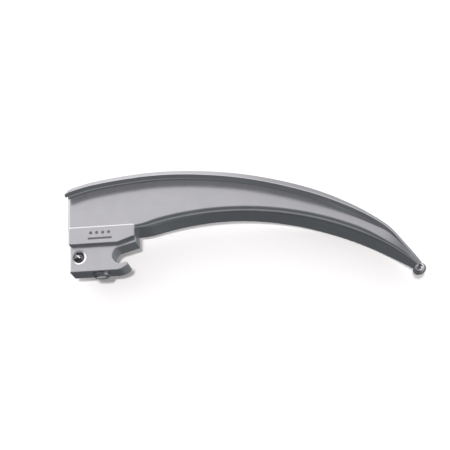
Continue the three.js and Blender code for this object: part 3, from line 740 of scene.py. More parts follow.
def sheet_corners(station):
    """Section across the blade at a station, as (z, height, radius) corners."""
    left, right, top = left_edge(station), right_edge(station) + INSIDE, crown_height(station)
    leaning = smoothstep(station, DROOP_FROM, DROOP_TO)
    droop = FLANGE_DROOP + (TIP_DROOP - FLANGE_DROOP) * leaning
    thinning = smoothstep(station, LIP_FROM, LIP_TO)
    lip = SHEET + (THINNEST_LIP - SHEET) * thinning
    across = Vector((math.cos(droop), -math.sin(droop)))
    under = Vector((-math.sin(droop), -math.cos(droop)))
    fold = Vector((left - SHEET, top))
    at_web = (SHEET - lip * under.x) / across.x
    width = max(flange_width(station), at_web + 0.02)
    lip_top = fold + across * width
    lip_under = lip_top + under * lip
    pocket = fold + across * at_web + under * lip
    lip_radius = LIP_RADIUS + (SHARPEST_LIP - LIP_RADIUS) * thinning
    opening = smoothstep(station, HEEL_BEND_END, MAIN_BEND_START)
    root_bend = HEEL_ROOT_BEND + (ROOT_BEND - HEEL_ROOT_BEND) * opening
    root_bend += (TIP_ROOT_BEND - ROOT_BEND) * leaning
    pocket_radius = INNER_RADIUS + (TIP_INNER_RADIUS - INNER_RADIUS) * leaning
    return [
        (right, 0, EDGE_RADIUS),
        (left, 0, root_bend),
        (pocket.x, pocket.y, pocket_radius),
        (lip_under.x, lip_under.y, LIP_CORNER),
        (lip_top.x, lip_top.y, lip_radius),
        (fold.x, fold.y, FOLD_RADIUS),
        (fold.x, SHEET, INNER_RADIUS),
        (right, SHEET, EDGE_RADIUS),
    ]


OUTLINE_STEPS = 6
REAR_ROUND = 0.72
REAR_ROUND_STEPS = 5
SHEET_STEPS = 200


def section_ring(station, corners):
    return [on_blade(station, height, z) for z, height in rounded_outline(corners, OUTLINE_STEPS)]


def sheet_rings():
    """Sections of the sheet from its rounded rear edge to the tip."""
    rings = []
    for k in range(REAR_ROUND_STEPS + 1):
        turn = math.pi / 2 * k / REAR_ROUND_STEPS
        depth = REAR_ROUND * (1 - math.sin(turn))
        corners = inset(sheet_corners(0), depth) if depth > 1e-6 else sheet_corners(0)
        rings.append(section_ring(REAR_ROUND * (1 - math.cos(turn)), corners))
    for i in range(1, SHEET_STEPS + 1):
        station = REAR_ROUND + (SHEET_END - REAR_ROUND) * i / SHEET_STEPS
        rings.append(section_ring(station, sheet_corners(station)))
    return rings


# The tip's roll bulges forward in the middle, runs askew and dips at its left end, which shows the
# eye of the roll.
BEAD_HALF_LENGTH = 3.9
BEAD_MID_Z = -8.4
BEAD_HEIGHT = 0.5
BEAD_LEAD = 0.2
BEAD_BULGE = 0.6
BEAD_SKEW = 0.3
BEAD_DIP = 0.9
BEAD_EYE = 0.7
BEAD_EYE_DEPTH = 1.6
BEAD_EYE_FLARE = 0.08
BEAD_RIM = 0.85
BEAD_STEPS = 20
BEAD_END_STEPS = 10


def bead_path():
    """Centre line of the rolled tip, from its left end to its right; the left end dips."""
    points = []
    for across in (-1.05, -1, -0.75, -0.4, 0, 0.4, 0.75, 1, 1 + BEAD_RADIUS / BEAD_HALF_LENGTH):
        station = SHEET_END + BEAD_LEAD + BEAD_BULGE * (1 - across * across) - BEAD_SKEW * across
        dip = BEAD_DIP * smoothstep(-across, 0.3, 1)
        points.append(on_blade(station, BEAD_HEIGHT - dip, BEAD_MID_Z - BEAD_HALF_LENGTH * across))
    return catmull_rom(points, 8)


def bead_radii(length):
    """(distance, radius) along the roll: the eye, a rounded rim, the straight part, a round right end."""
    stations = [
        (BEAD_EYE_DEPTH, 0.02),
        (BEAD_EYE_DEPTH, BEAD_EYE * 0.9),
        (0.35, BEAD_EYE),
        (0.12, BEAD_EYE + BEAD_EYE_FLARE),
    ]
    stations += [(y, x) for x, y in arc(BEAD_RADIUS - BEAD_RIM, BEAD_RIM, BEAD_RIM, -90, 0, 5)]
    straight = length - BEAD_RADIUS - BEAD_RIM
    stations += [(BEAD_RIM + straight * i / BEAD_STEPS, BEAD_RADIUS) for i in range(1, BEAD_STEPS + 1)]
    for i in range(1, BEAD_END_STEPS):
        angle = math.pi / 2 * i / BEAD_END_STEPS
        stations.append((length - BEAD_RADIUS * (1 - math.sin(angle)), BEAD_RADIUS * math.cos(angle)))
    return stations


SHEET_SHARP_ANGLE = 50


def build_blade_sheet():
    sheet = loft("blade_sheet_skin", sheet_rings(), SHEET_SHARP_ANGLE)
    path = bead_path()
    bead = sweep("tip_bead", path, bead_radii(path_length(path)), 28, SHEET_SHARP_ANGLE)
    joined = bmesh.new()
    joined.from_mesh(sheet)
    joined.from_mesh(bead)
    joined.to_mesh(sheet)
    joined.free()
    bpy.data.meshes.remove(bead)
    finish_shading(sheet, SHEET_SHARP_ANGLE)
    weigh_normals(make_piece("sheet", sheet, "blade_sheet", "sheet_steel"))


def weigh_normals(obj):
    """Lets large faces set the shading, so that the rounded rims between them look smooth."""
    modifier = obj.modifiers.new("weigh_normals", "WEIGHTED_NORMAL")
    modifier.keep_sharp = True
    modifier.weight = 100


# ---- the heel block

# The shoulder's underside slopes up ahead of SHOULDER_BEND. The rail's top corner leans back.
SHOULDER_BEND = -0.6
RAIL_EASE = 0.42
RAIL_LEAN = math.radians(16)
RAIL_TOP = 0.12

# Roundings of the block's rims, in mm.
BLOCK_EASE = 0.38
EDGE_EASE = 0.2
CRISP = 0.03
EDGE_BREAK = 0.15
EASE_STEPS = 4

# How far a cutting tool stands past the surface that it cuts.
OVERSHOOT = 1


def tongue_outline():
    """The tongue seen from its left side: bottom, jaw, nose, hook notch and slot."""
    slot_start = 90 + math.degrees(SLOT_SLOPE)
    slot_end = NOTCH_RADIUS / math.cos(SLOT_SLOPE) + math.tan(SLOT_SLOPE) * HEEL_FRONT
    return [
        (HEEL_REAR, TONGUE_BOTTOM),
        *arc(JAW_X, JAW_Y, JAW_Y - TONGUE_BOTTOM, -90, -50, 16),
        *arc(NOSE_X, NOSE_Y, NOSE_RADIUS, -35, 75, 10),
        *arc(0, 0, NOTCH_RADIUS, -58, slot_start - 360, 60),
        (HEEL_FRONT, slot_end),
        (HEEL_FRONT, SHOULDER_FRONT_BOTTOM + 1),
        (HEEL_REAR, SHOULDER_FRONT_BOTTOM + 1),
    ]


def shoulder_section(bottom):
    """Section across the shoulder and the rail in front of the sheet, as (z, y, radius) corners."""
    top = ROOT_HEIGHT - FIT
    high = ROOT_HEIGHT + LIP_RISE
    return [
        (BLOCK_RIGHT, bottom, BLOCK_EASE),
        (BLOCK_LEFT, bottom, EDGE_EASE),
        (BLOCK_LEFT, high - RAIL_EASE, CRISP),
        (BLOCK_LEFT - (RAIL_EASE - RAIL_TOP) * math.tan(RAIL_LEAN), high - RAIL_TOP, CRISP),
        (BLOCK_LEFT - 2 * RAIL_TOP, high, CRISP),
        (FIT, high, EDGE_EASE),
        (FIT, top, CRISP),
        (BLOCK_RIGHT, top, BLOCK_EASE),
    ]


def rim_levels(ease):
    """(distance in, depth) pairs of a quarter-round rim."""
    turns = [math.pi / 2 * k / EASE_STEPS for k in range(EASE_STEPS + 1)]
    return [(ease * (1 - math.cos(turn)), ease * (1 - math.sin(turn))) for turn in turns]


def shoulder_mesh():
    """The shoulder and its rail, lofted from the rounded rear face to the rounded front face."""
    levels = [(HEEL_REAR + along, SHOULDER_BOTTOM, depth) for along, depth in rim_levels(BLOCK_EASE)]
    levels.append((SHOULDER_BEND, SHOULDER_BOTTOM, 0))
    front = reversed(rim_levels(BLOCK_EASE))
    levels += [(HEEL_FRONT - along, SHOULDER_FRONT_BOTTOM, depth) for along, depth in front]
    rings = []
    for x, bottom, depth in levels:
        outline = rounded_outline(inset(shoulder_section(bottom), depth), EASE_STEPS)
        rings.append([Vector((x, y, z)) for z, y in outline])
    return loft("heel", rings, 30)


def prism_mesh(name, outline, low, high, to_point, ease=0.0):
    """A body of one outline between two levels, its end rims rounded by ease."""
    corners = [(a, b, 0) for a, b in outline]
    rims = rim_levels(ease) if ease else [(0, 0)]
    levels = [(low + rise, depth) for rise, depth in rims]
    levels += [(high - rise, depth) for rise, depth in reversed(rims)]
    rings = [[to_point(a, b, level) for a, b, _ in inset(corners, depth)] for level, depth in levels]
    return loft(name, rings, 30)


def in_side_view(a, b, level):
    return Vector((a, b, level))


def in_top_view(a, b, level):
    return Vector((a, level, b))


def loose(mesh):
    """An object that only carries a mesh while it is worked on."""
    return add_object(mesh.name, mesh)


def cutter(radius, origin, axis, length, sides=72):
    """A round bar for cutting a bore."""
    axis = Vector(axis)
    up = axis.orthogonal().normalized()
    return turned("cut", [(0, 0), (radius, 0), (radius, length), (0, length)], origin, axis, up, sides)


def combine(base, others, operation):
    """Joins or cuts base with other meshes, which are used up."""
    for mesh in others:
        helper = loose(mesh)
        modifier = base.modifiers.new("combine", "BOOLEAN")
        modifier.operation = operation
        modifier.solver = "EXACT"
        modifier.object = helper
        bake_modifiers(base)
        bpy.data.objects.remove(helper)


def bake_modifiers(obj):
    """Applies all the modifiers of an object to its mesh."""
    bpy.context.view_layer.update()
    evaluated = obj.evaluated_get(bpy.context.evaluated_depsgraph_get())
    mesh = bpy.data.meshes.new_from_object(evaluated)
    obj.modifiers.clear()
    old = obj.data
    mesh.name = old.name
    obj.data = mesh
    bpy.data.meshes.remove(old)


def take_mesh(obj):
    """The mesh of an object that is no longer needed."""
    mesh = obj.data
    bpy.data.objects.remove(obj)
    return mesh


def round_edges(obj, width, sharp_angle):
    bevel = obj.modifiers.new("broken_edges", "BEVEL")
    bevel.width = width * MM
    bevel.segments = 3
    bevel.limit_method = "ANGLE"
    bevel.angle_limit = math.radians(sharp_angle)
    bake_modifiers(obj)


def corner_cutter():
    """A wedge that cuts the shoulder's right front corner at 45 degrees, CORNER_CUT along each face."""
    front = HEEL_FRONT + OVERSHOOT
    right = BLOCK_RIGHT - OVERSHOOT
    leg = CORNER_CUT + 2 * OVERSHOOT
    wedge = [(front - leg, right), (front, right), (front, right + leg)]
    top = ROOT_HEIGHT + LIP_RISE + OVERSHOOT
    return prism_mesh("cut", wedge, SHOULDER_BOTTOM - OVERSHOOT, top, in_top_view)


def bore_cutters():
    """Bores for the balls, their two rings, the inlet's seal and shank, the tube and the screw."""
    across = (0, 0, 1)
    upward = (0, 1, 0)
    forward = (1, 0, 0)
    ring_seat = RING_RADIUS + RING_SEAT_ROOM
    ring_depth = RING_LENGTH + RING_SEAT_ROOM
    below_right = (DETENT_X, 0, TONGUE_RIGHT - OVERSHOOT)
    below_heel = (INLET_X, TONGUE_BOTTOM - OVERSHOOT, MID_Z)
    behind_heel = (HEEL_REAR - OVERSHOOT, SCREW_Y, MID_Z)
    shank_length = SHANK_TOP + SHANK_ROOM - TONGUE_BOTTOM + OVERSHOOT
    return [
        cutter(DETENT_BORE, below_right, across, TONGUE_THICKNESS + 2 * OVERSHOOT),
        cutter(ring_seat, (DETENT_X, 0, TONGUE_LEFT - ring_depth), across, ring_depth + OVERSHOOT),
        cutter(ring_seat, below_right, across, ring_depth + OVERSHOOT),
        cutter(SEAL_SEAT, below_heel, upward, SEAL_DEPTH + OVERSHOOT),
        cutter(SHANK_RADIUS + FIT, below_heel, upward, shank_length),
        cutter(TUBE_RADIUS + 2 * FIT, (INLET_X, 0, MID_Z), upward, ROOT_HEIGHT + OVERSHOOT),
        cutter(SCREW_RADIUS + FIT, behind_heel, forward, INLET_X - HEEL_REAR + OVERSHOOT, 36),
    ]


def build_heel_block():
    block = loose(shoulder_mesh())
    combine(block, [corner_cutter()], "DIFFERENCE")
    tongue = prism_mesh("tongue", tongue_outline(), TONGUE_RIGHT, TONGUE_LEFT, in_side_view, BLOCK_EASE)
    combine(block, [tongue], "UNION")
    combine(block, bore_cutters(), "DIFFERENCE")
    clean_mesh(block.data)
    round_edges(block, EDGE_BREAK, 32)
    mesh = take_mesh(block)
    finish_shading(mesh, 50)
    shade_by_area(mesh, 50)
    mark_rims(mesh)
    make_piece("heel", mesh, "heel_block", "block_steel")


def shade_by_area(mesh, sharp_angle):
    """Corner normals that follow the largest faces around each corner, so that flat faces look flat."""
    limit = math.cos(math.radians(sharp_angle))
    faces = mesh.polygons
    around = [[] for _ in mesh.vertices]
    for face in faces:
        for corner in face.vertices:
            around[corner].append(face)
    normals = []
    for face in faces:
        for corner in face.vertices:
            near = [other for other in around[corner] if other.normal.dot(face.normal) > limit]
            total = sum((other.normal * other.area ** 2 for other in near), Vector())
            normals.append(total.normalized())
    mesh.normals_split_custom_set(normals)


def mark_rims(mesh):
    """Sets RUBBED to 1 on the faces that lean, which are the rounded rims, and to 0 on the flat sides."""
    rubbed = mesh.attributes.new(RUBBED, "FLOAT", "CORNER")
    for face in mesh.polygons:
        leaning = max(abs(part) for part in face.normal) < 0.99
        for corner in face.loop_indices:
            rubbed.data[corner].value = 1.0 if leaning else 0.0


def clean_mesh(mesh):
    """Merges doubled points and coplanar faces, so that bevels run clean."""
    shape = bmesh.new()
    shape.from_mesh(mesh)
    bmesh.ops.remove_doubles(shape, verts=shape.verts, dist=2e-6)
    bmesh.ops.dissolve_limit(
        shape,
        angle_limit=math.radians(1),
        verts=shape.verts,
        edges=shape.edges,
        use_dissolve_boundaries=False,
    )
    shape.to_mesh(mesh)
    shape.free()


# ---- the detents


BALL_STEPS = 40
SPRING_STEPS = 72


def build_ball(side, face, inward):
    profile = []
    for i in range(BALL_STEPS + 1):
        turn = math.pi * i / BALL_STEPS
        radius = BALL_RADIUS * math.sin(turn) if 0 < i < BALL_STEPS else 0
        profile.append((radius, BALL_DEPTH - BALL_RADIUS * math.cos(turn)))
    mesh = turned(f"detent_ball_{side}_skin", profile, (DETENT_X, 0, face), inward, (0, 1, 0), 64, 60)
    make_piece(f"ball_{side}", mesh, f"detent_ball_{side}", "ball_steel", f"ball_{side}")


def build_ring(side, face, inward):
    """A pressed-in ring with a dished face and a mouth narrower than the ball."""
    profile = rounded_outline([
        (RING_RADIUS, 0.02, 0.05),
        (RING_RADIUS, RING_LENGTH, 0.1),
        (RING_WALL_START, RING_LENGTH, 0.05),
        (RING_WALL_START, BALL_DEPTH - 0.1, 0.1),
        (RING_MOUTH + 0.09, RING_DISH + 0.15, 0.05),
        (RING_MOUTH, RING_DISH, 0.05),
        (RING_RADIUS - 0.16, 0.01, 0.06),
    ], 4)
    mesh = turned(f"detent_ring_{side}_skin", profile, (DETENT_X, 0, face), inward, (0, 1, 0), 72, 60)
    make_piece(f"ring_{side}", mesh, f"detent_ring_{side}", "ring_steel")


def build_spring_half(side, sign):
    """Half of the detent spring, from the tongue's middle out towards the ball; it rides on no body."""
    cup = BALL_RADIUS - math.sqrt(BALL_RADIUS ** 2 - SPRING_RADIUS ** 2)
    between = TONGUE_THICKNESS - 2 * BALL_DEPTH - 2 * BALL_RADIUS + 2 * cup
    half = (between - 2 * SPRING_WIRE - 4 * FIT) / 2
    turns = SPRING_TURNS / 2
    path = []
    for i in range(SPRING_STEPS + 1):
        t = i / SPRING_STEPS
        angle = 2 * math.pi * turns * t * sign
        path.append(Vector((
            DETENT_X + SPRING_RADIUS * math.cos(angle),
            SPRING_RADIUS * math.sin(angle),
            MID_Z + sign * half * t,
        )))
    length = path_length(path)
    stations = [(length * i / SPRING_STEPS, SPRING_WIRE) for i in range(SPRING_STEPS + 1)]
    mesh = sweep(f"detent_spring_{side}_skin", path, stations, 10, 60)
    obj = make_piece(f"spring_{side}", mesh, "detent_spring", "spring_steel", None)
    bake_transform(obj)


# ---- the light guide


def turn_at_inlet(name, node, slot, profile, y):
    """A turned piece about the light inlet's axis."""
    mesh = turned(f"{node}_skin", profile, (INLET_X, y, MID_Z), (0, 1, 0), (0, 0, 1))
    make_piece(name, mesh, node, slot)


def turn_at_outlet(name, node, slot, profile):
    """A turned piece about the guide's axis at the light outlet."""
    _, up, forward = blade_axes(GUIDE_END)
    mesh = turned(f"{node}_skin", profile, on_blade(GUIDE_END, GUIDE_LIFT, GUIDE_Z), forward, up, 48)
    make_piece(name, mesh, node, slot)


def build_inlet_ferrule():
    seat = WINDOW_RECESS + WINDOW_THICKNESS + FIT
    shank_top = SHANK_TOP - BOSS_FACE
    flange_top = BOSS_PROUD - FIT
    bore = BUNDLE_RADIUS + FIT
    profile = rounded_outline([
        (WINDOW_SEAT + FIT, 0, 0.12),
        (BOSS_RADIUS - BOSS_BEVEL, 0, 0.15),
        (BOSS_RADIUS - BOSS_BEVEL / 3, BOSS_BEVEL / 2, 0.5),
        (BOSS_RADIUS, flange_top - BOSS_RIM, 0.4),
        (BOSS_RADIUS, flange_top, 0.06),
        (SHANK_RADIUS, flange_top, 0.05),
        (SHANK_RADIUS, shank_top, 0.1),
        (bore, shank_top, 0.05),
        (bore, seat, 0.05),
        (WINDOW_SEAT + FIT, seat, 0.05),
    ], 3)
    turn_at_inlet("inlet_boss", "inlet_ferrule", "ferrule_steel", profile, BOSS_FACE)


def build_inlet_window():
    """Glass with a slightly domed outer face."""
    steps = 6
    profile = []
    for i in range(steps + 1):
        t = i / steps
        profile.append((WINDOW_SEAT * t, WINDOW_RECESS - WINDOW_DOME * (1 - t ** 2)))
    back = WINDOW_RECESS + WINDOW_THICKNESS
    profile += [(WINDOW_SEAT, back), (0, back)]
    turn_at_inlet("inlet_glass", "inlet_window", "window_glass", profile, BOSS_FACE)


def build_inlet_seal():
    centre = (SHANK_RADIUS + SEAL_SEAT) / 2
    profile = [(centre + a, b) for a, b in arc(0, 0, SEAL_WIRE, 0, 330, 11)]
    y = TONGUE_BOTTOM + SEAL_WIRE + FIT
    turn_at_inlet("inlet_o_ring", "inlet_seal", "seal_rubber", profile, y)


RISE_SPACING = 2
GUIDE_SPACING = 5


def guide_path(start, end):
    """Centre line of the guide: up through the block, over, and along the corner of the blade."""
    points = []
    y = start
    while y < GUIDE_RISE_END - 0.5:
        points.append(Vector((INLET_X, y, MID_Z)))
        y += RISE_SPACING
    landing = on_blade(GUIDE_START, GUIDE_LIFT, GUIDE_Z)
    ahead = on_blade(GUIDE_START - BEND_APPROACH, GUIDE_LIFT + BEND_LIFT, GUIDE_Z)
    rise = Vector((INLET_X, GUIDE_RISE_END, MID_Z))
    points += interpolate_bezier(rise, rise + Vector((0, BEND_RISE, 0)), ahead, landing, 10)
    station = GUIDE_START + GUIDE_SPACING
    while station < end - 2:
        points.append(on_blade(station, GUIDE_LIFT, GUIDE_Z))
        station += GUIDE_SPACING
    points.append(on_blade(end, GUIDE_LIFT, GUIDE_Z))
    return catmull_rom(points, 8)


def build_guide_tube():
    """A closed sheath: in at the inlet's rim, along the outside, and back along the bore."""
    path = guide_path(SHANK_TOP + 0.1, GUIDE_END)
    length = path_length(path)
    rounding = 0.12
    outer_steps, inner_steps, sides = 220, 120, 32
    stations = [
        (rounding, TUBE_BORE),
        (0, TUBE_BORE + rounding),
        (0, TUBE_RADIUS - rounding),
        (rounding, TUBE_RADIUS),
    ]
    stations += [(length * i / outer_steps, TUBE_RADIUS) for i in range(1, outer_steps)]
    stations += [
        (length - rounding, TUBE_RADIUS),
        (length, TUBE_RADIUS - rounding),
        (length, TUBE_BORE + rounding),
    ]
    stations += [(length - length * i / inner_steps, TUBE_BORE) for i in range(1, inner_steps)]
    rings = sweep_rings(path, stations, sides)
    points = [p for ring in rings for p in ring]
    mesh = to_mesh("guide_tube_skin", points, ring_faces(len(rings), sides, closed=True), 50)
    make_piece("light_tube", mesh, "guide_tube", "guide_tube")


def build_fibre_bundle():
    start = BOSS_FACE + WINDOW_RECESS + WINDOW_THICKNESS + 0.1
    path = guide_path(start, GUIDE_END + OUTLET_LENGTH - OUTLET_WINDOW - 0.3)
    length = path_length(path)
    steps = 200
    stations = [(length * i / steps, BUNDLE_RADIUS) for i in range(steps + 1)]
    mesh = sweep("fibre_bundle_skin", path, stations, 20)
    make_piece("fibres", mesh, "fibre_bundle", "fibre_glass")


def build_guide_collar():
    bore = TUBE_RADIUS + FIT
    profile = rounded_outline([
        (bore, 0, 0.05),
        (COLLAR_RADIUS, 0, 0.1),
        (COLLAR_RADIUS, COLLAR_HEIGHT / 2, 0.35),
        (COLLAR_RADIUS - 0.5, COLLAR_HEIGHT, 0.3),
        (bore, COLLAR_HEIGHT, 0.08),
    ], 5)
    y = ROOT_HEIGHT + SHEET + FIT
    turn_at_inlet("tube_collar", "guide_collar", "ferrule_steel", profile, y)


def saddle_outline():
    """A strap round the tube with a foot on the web and one on the spatula."""
    outer = SADDLE_BORE + SADDLE_STRAP
    wall = GUIDE_OFFSET - FIT
    shelf = wall - SADDLE_FLAT
    leave = math.degrees(math.acos(shelf / outer))
    far = outer + SADDLE_FOOT
    return [
        (wall, far),
        (shelf, far),
        *arc(0, 0, outer, leave, 270 - leave, 28),
        (-far, -shelf),
        (-far, -wall),
        (-FOOT_START, -wall),
        *arc(0, 0, SADDLE_BORE, 230, 40, 28),
        (wall, FOOT_START),
    ]


def build_saddle(name, node, station):
    forward = blade_axes(station)[2]
    rings = []
    for along in (-SADDLE_LENGTH / 2, SADDLE_LENGTH / 2):
        rings.append([
            on_blade(station, GUIDE_LIFT + b, GUIDE_Z + a) + forward * along for a, b in saddle_outline()
        ])
    block = loose(loft(f"{node}_skin", rings, 30))
    round_edges(block, 0.12, 40)
    mesh = take_mesh(block)
    finish_shading(mesh, 50)
    weigh_normals(make_piece(name, mesh, node, "ferrule_steel"))


def build_outlet_ferrule():
    step = OUTLET_LENGTH - OUTLET_WINDOW - 0.2
    window_seat = BUNDLE_RADIUS + 0.2 + FIT
    profile = rounded_outline([
        (OUTLET_BORE, 0.1, 0.05),
        (OUTLET_RADIUS, 0.1, 0.1),
        (OUTLET_RADIUS, OUTLET_LENGTH - OUTLET_LIP, 0.15),
        (OUTLET_RADIUS - OUTLET_LIP, OUTLET_LENGTH, 0.08),
        (window_seat, OUTLET_LENGTH, 0.05),
        (window_seat, step, 0.05),
        (OUTLET_BORE, step, 0.05),
    ], 3)
    turn_at_outlet("outlet_sleeve", "outlet_ferrule", "ferrule_steel", profile)


def build_outlet_window():
    """Glass with a slightly domed front."""
    back = OUTLET_LENGTH - OUTLET_WINDOW - 0.15
    front = OUTLET_LENGTH - 0.25
    dome = 0.18
    radius = BUNDLE_RADIUS + 0.2
    steps = 6
    profile = [(0, back), (radius, back), (radius, front)]
    for i in range(1, steps + 1):
        share = 1 - i / steps
        profile.append((radius * share, front + dome * (1 - share ** 2)))
    turn_at_outlet("outlet_glass", "outlet_window", "window_glass", profile)


def build_guide_screw():
    """A grub screw with a socket in its rear end and a chamfered front end that clamps the guide."""
    start = HEEL_REAR + SCREW_RECESS
    length = INLET_X - TUBE_RADIUS - 0.12 - start
    taper = 2 * SCREW_CHAMFER
    profile = rounded_outline([
        (0.001, SOCKET_DEPTH + 0.1, 0),
        (SOCKET_RADIUS, SOCKET_DEPTH, 0.05),
        (SOCKET_RADIUS, 0.1, 0.05),
        (SOCKET_RADIUS + 0.1, 0, 0.03),
        (SCREW_RADIUS - SCREW_CHAMFER, 0, 0.05),
        (SCREW_RADIUS, SCREW_CHAMFER, 0.08),
        (SCREW_RADIUS, length - taper, 0.1),
        (SCREW_RADIUS - taper, length, 0.1),
        (0.001, length, 0),
    ], 3)
    mesh = turned("guide_screw_skin", profile, (start, SCREW_Y, MID_Z), (1, 0, 0), (0, 1, 0), 36)
    make_piece("clamp_screw", mesh, "guide_screw", "screw_steel")


build_blade_sheet()
build_heel_block()
for side_name, side_sign, side_face in (("left", 1, TONGUE_LEFT), ("right", -1, TONGUE_RIGHT)):
    build_ball(side_name, side_face, (0, 0, -side_sign))
    build_ring(side_name, side_face, (0, 0, -side_sign))
    build_spring_half(side_name, side_sign)
build_inlet_ferrule()
build_inlet_window()
build_inlet_seal()
build_guide_tube()
build_fibre_bundle()
build_guide_collar()
build_saddle("strap_rear", "guide_saddle_rear", 44)
build_saddle("strap_front", "guide_saddle_front", 74)
build_outlet_ferrule()
build_outlet_window()
build_guide_screw()

# ---- floor, light and camera


FLOOR_HALF = 3.0


def build_floor():
    """A pale matt floor, three metres each way from the blade."""
    mesh = bpy.data.meshes.new("floor")
    corners = [(x * FLOOR_HALF, y * FLOOR_HALF, 0) for x, y in ((-1, -1), (1, -1), (1, 1), (-1, 1))]
    mesh.from_pydata(corners, [], [(0, 1, 2, 3)])
    floor = add_object("floor", mesh)
    material, nodes, shader, where = new_material("pale_floor")
    mottle = nodes.noise(where, 9, 3.0)
    nodes.put(shader, "Base Color", nodes.mix_colour(mottle, (0.78, 0.765, 0.76, 1), (0.82, 0.805, 0.80, 1)))
    shader.inputs["Roughness"].default_value = 0.9
    shader.inputs["Emission Color"].default_value = (1, 0.93, 0.9, 1)
    shader.inputs["Emission Strength"].default_value = 0.1
    mesh.materials.append(material)
    floor.visible_glossy = False


def add_glow(nodes, direction, centre, edge, core, strength):
    """A round soft light in the sky; edge and core are cosines of the angle to its centre."""
    toward = nodes.add("VectorMath", {"operation": "DOT_PRODUCT"})
    nodes.put(toward, "0", direction)
    toward.inputs[1].default_value = Vector(centre).normalized()
    return nodes.ramp(toward.outputs["Value"], edge, core, 0.0, strength)


def front_light(nodes, y, z):
    """A band low in front of the blade, which the root bend and the pocket under the lip mirror."""
    off_band = nodes.math("ABSOLUTE", nodes.minus(z, 0.27))
    band = nodes.ramp(off_band, 0.05, 0.3, 1.0, 0.0)
    return nodes.times(nodes.ramp(y, -0.6, -0.85, 0.0, 0.3), band)


def upper_light(nodes, x, y):
    """Above the horizon: a level that rises to the flange's side, a rim light past it, light at both ends."""
    high = nodes.ramp(y, -0.45, 0.2, 0.16, 0.34)
    rim = nodes.ramp(y, 0.52, 0.68, 0.0, 1.3)
    behind_heel = nodes.ramp(x, -0.36, -0.58, 0.0, 1.4)
    rear = nodes.times(behind_heel, nodes.ramp(y, -0.1, 0.15, 0.0, 1.0))
    far_side = nodes.ramp(x, 0.5, 0.8, 0.0, 0.7)
    return nodes.plus(nodes.plus(high, rim), nodes.plus(rear, far_side))


def lower_light(nodes, x, y):
    """Below the horizon: dim, brighter on the flange's side and less so towards the tip."""
    low = nodes.ramp(y, 0.3, 0.62, 0.0, 0.68)
    low_fade = nodes.ramp(x, -0.12, 0.12, 1.0, 0.35)
    dim = nodes.plus(nodes.ramp(y, -0.25, 0.2, 0.115, 0.175), nodes.ramp(x, -0.08, 0.15, 0.0, 0.1))
    return nodes.plus(nodes.times(low, low_fade), dim)


def sky_level(nodes, direction):
    """The strength of the studio's soft light in each direction."""
    x, y, z = nodes.add("SeparateXYZ", Vector=direction).outputs
    blended = nodes.add("Mix")
    nodes.put(blended, "0", nodes.ramp(z, -0.25, 0.1, 0.0, 1.0))
    nodes.put(blended, "2", lower_light(nodes, x, y))
    nodes.put(blended, "3", upper_light(nodes, x, y))
    glow = add_glow(nodes, direction, (-0.14, 0.26, 0.95), 0.91, 0.992, 0.5)
    soft = nodes.times(glow, nodes.ramp(x, -0.12, 0.06, 1.0, 0.6))
    return nodes.plus(nodes.plus(blended.outputs[0], front_light(nodes, y, z)), soft)


def build_world():
    """Soft light all round, a little cooler where it is dim. The camera sees a plain pale backdrop."""
    world = bpy.data.worlds.new("studio")
    bpy.context.scene.world = world
    world.use_nodes = True
    nodes = Nodes(world.node_tree)
    background = world.node_tree.nodes["Background"]
    direction = nodes.add("TexCoord").outputs["Generated"]
    level = sky_level(nodes, direction)
    warmth = nodes.ramp(level, 0.15, 0.6, 0.0, 1.0)
    tint = nodes.mix_colour(warmth, (0.94, 1.0, 1.05, 1), (1.0, 0.985, 1.01, 1))
    seen = nodes.add("LightPath").outputs["Is Camera Ray"]
    nodes.put(background, "Color", nodes.mix_colour(seen, tint, (0.97, 0.97, 0.97, 1)))
    strength = nodes.plus(nodes.times(level, nodes.minus(1.0, seen)), seen)
    nodes.put(background, "Strength", strength)


# The glint lamps light the detent balls only.
BALLS = bpy.data.collections.new("balls")
for ball_name in ("ball_left", "ball_right"):
    BALLS.objects.link(bpy.data.objects[ball_name])

GLINT_DISTANCE = 200 * MM
GLINT_SIZE = 48 * MM
GLINT_RADIANCE = 40


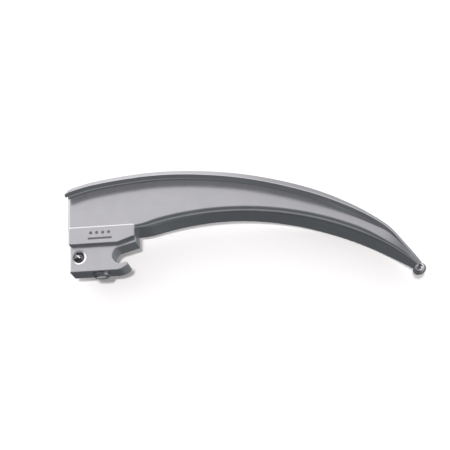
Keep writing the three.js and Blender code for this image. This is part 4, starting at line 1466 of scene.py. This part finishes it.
def build_glint_lamp(name, toward):
    """A small round lamp near the heel that shows as a glint in the detent ball."""
    light = bpy.data.lights.new(name, "AREA")
    light.shape = "DISK"
    light.size = GLINT_SIZE
    light.energy = GLINT_RADIANCE * math.pi * math.pi * (GLINT_SIZE / 2) ** 2
    lamp = add_object(name, light)
    outward = Vector(toward).normalized()
    lamp.location = place((DETENT_X, 0, TONGUE_LEFT)) + outward * GLINT_DISTANCE
    lamp.rotation_euler = outward.to_track_quat("Z", "Y").to_euler()
    lamp.visible_camera = False
    lamp.light_linking.receiver_collection = BALLS


OVERHEAD_STRENGTH = 2.15
OVERHEAD_SPREAD = math.radians(7)
OVERHEAD_TOWARD = (0, -0.045, 1)


def build_overhead_light():
    """A broad light straight above that puts a soft shadow on the floor and no glint in the steel."""
    light = bpy.data.lights.new("overhead", "SUN")
    light.energy = OVERHEAD_STRENGTH
    light.angle = OVERHEAD_SPREAD
    lamp = add_object("overhead", light)
    lamp.rotation_euler = Vector(OVERHEAD_TOWARD).to_track_quat("Z", "Y").to_euler()
    lamp.visible_glossy = False


CAMERA_TARGET = place((38.7, 8.15, 0))
CAMERA_AZIMUTH = math.radians(17.2)
CAMERA_ELEVATION = math.radians(72.6)
CAMERA_DISTANCE = 421.2 * MM
CAMERA_ROLL = math.radians(2.2)
CAMERA_LENS = 93.7


def build_camera():
    """Looks down at the blade's left side, from slightly below it and towards its tip, with a roll."""
    level = math.cos(CAMERA_ELEVATION)
    outward = Vector((
        level * math.sin(CAMERA_AZIMUTH),
        -level * math.cos(CAMERA_AZIMUTH),
        math.sin(CAMERA_ELEVATION),
    ))
    right = Vector((0, 1, 0)).cross(outward).normalized()
    up = outward.cross(right)
    tilted_right = right * math.cos(CAMERA_ROLL) - up * math.sin(CAMERA_ROLL)
    tilted_up = up * math.cos(CAMERA_ROLL) + right * math.sin(CAMERA_ROLL)
    camera = bpy.data.cameras.new("camera")
    camera.lens = CAMERA_LENS
    camera.clip_start = 0.01
    obj = add_object("camera", camera)
    turn = Matrix((tilted_right, tilted_up, outward)).transposed().to_4x4()
    obj.matrix_world = Matrix.Translation(CAMERA_TARGET + outward * CAMERA_DISTANCE) @ turn
    bpy.context.scene.camera = obj


build_floor()
build_world()
build_glint_lamp("upper_glint", (-0.32, 0.50, 0.803))
build_glint_lamp("lower_glint", (0.188, 0.05, 0.98))
build_overhead_light()
build_camera()
bpy.context.scene.view_settings.view_transform = "Standard"
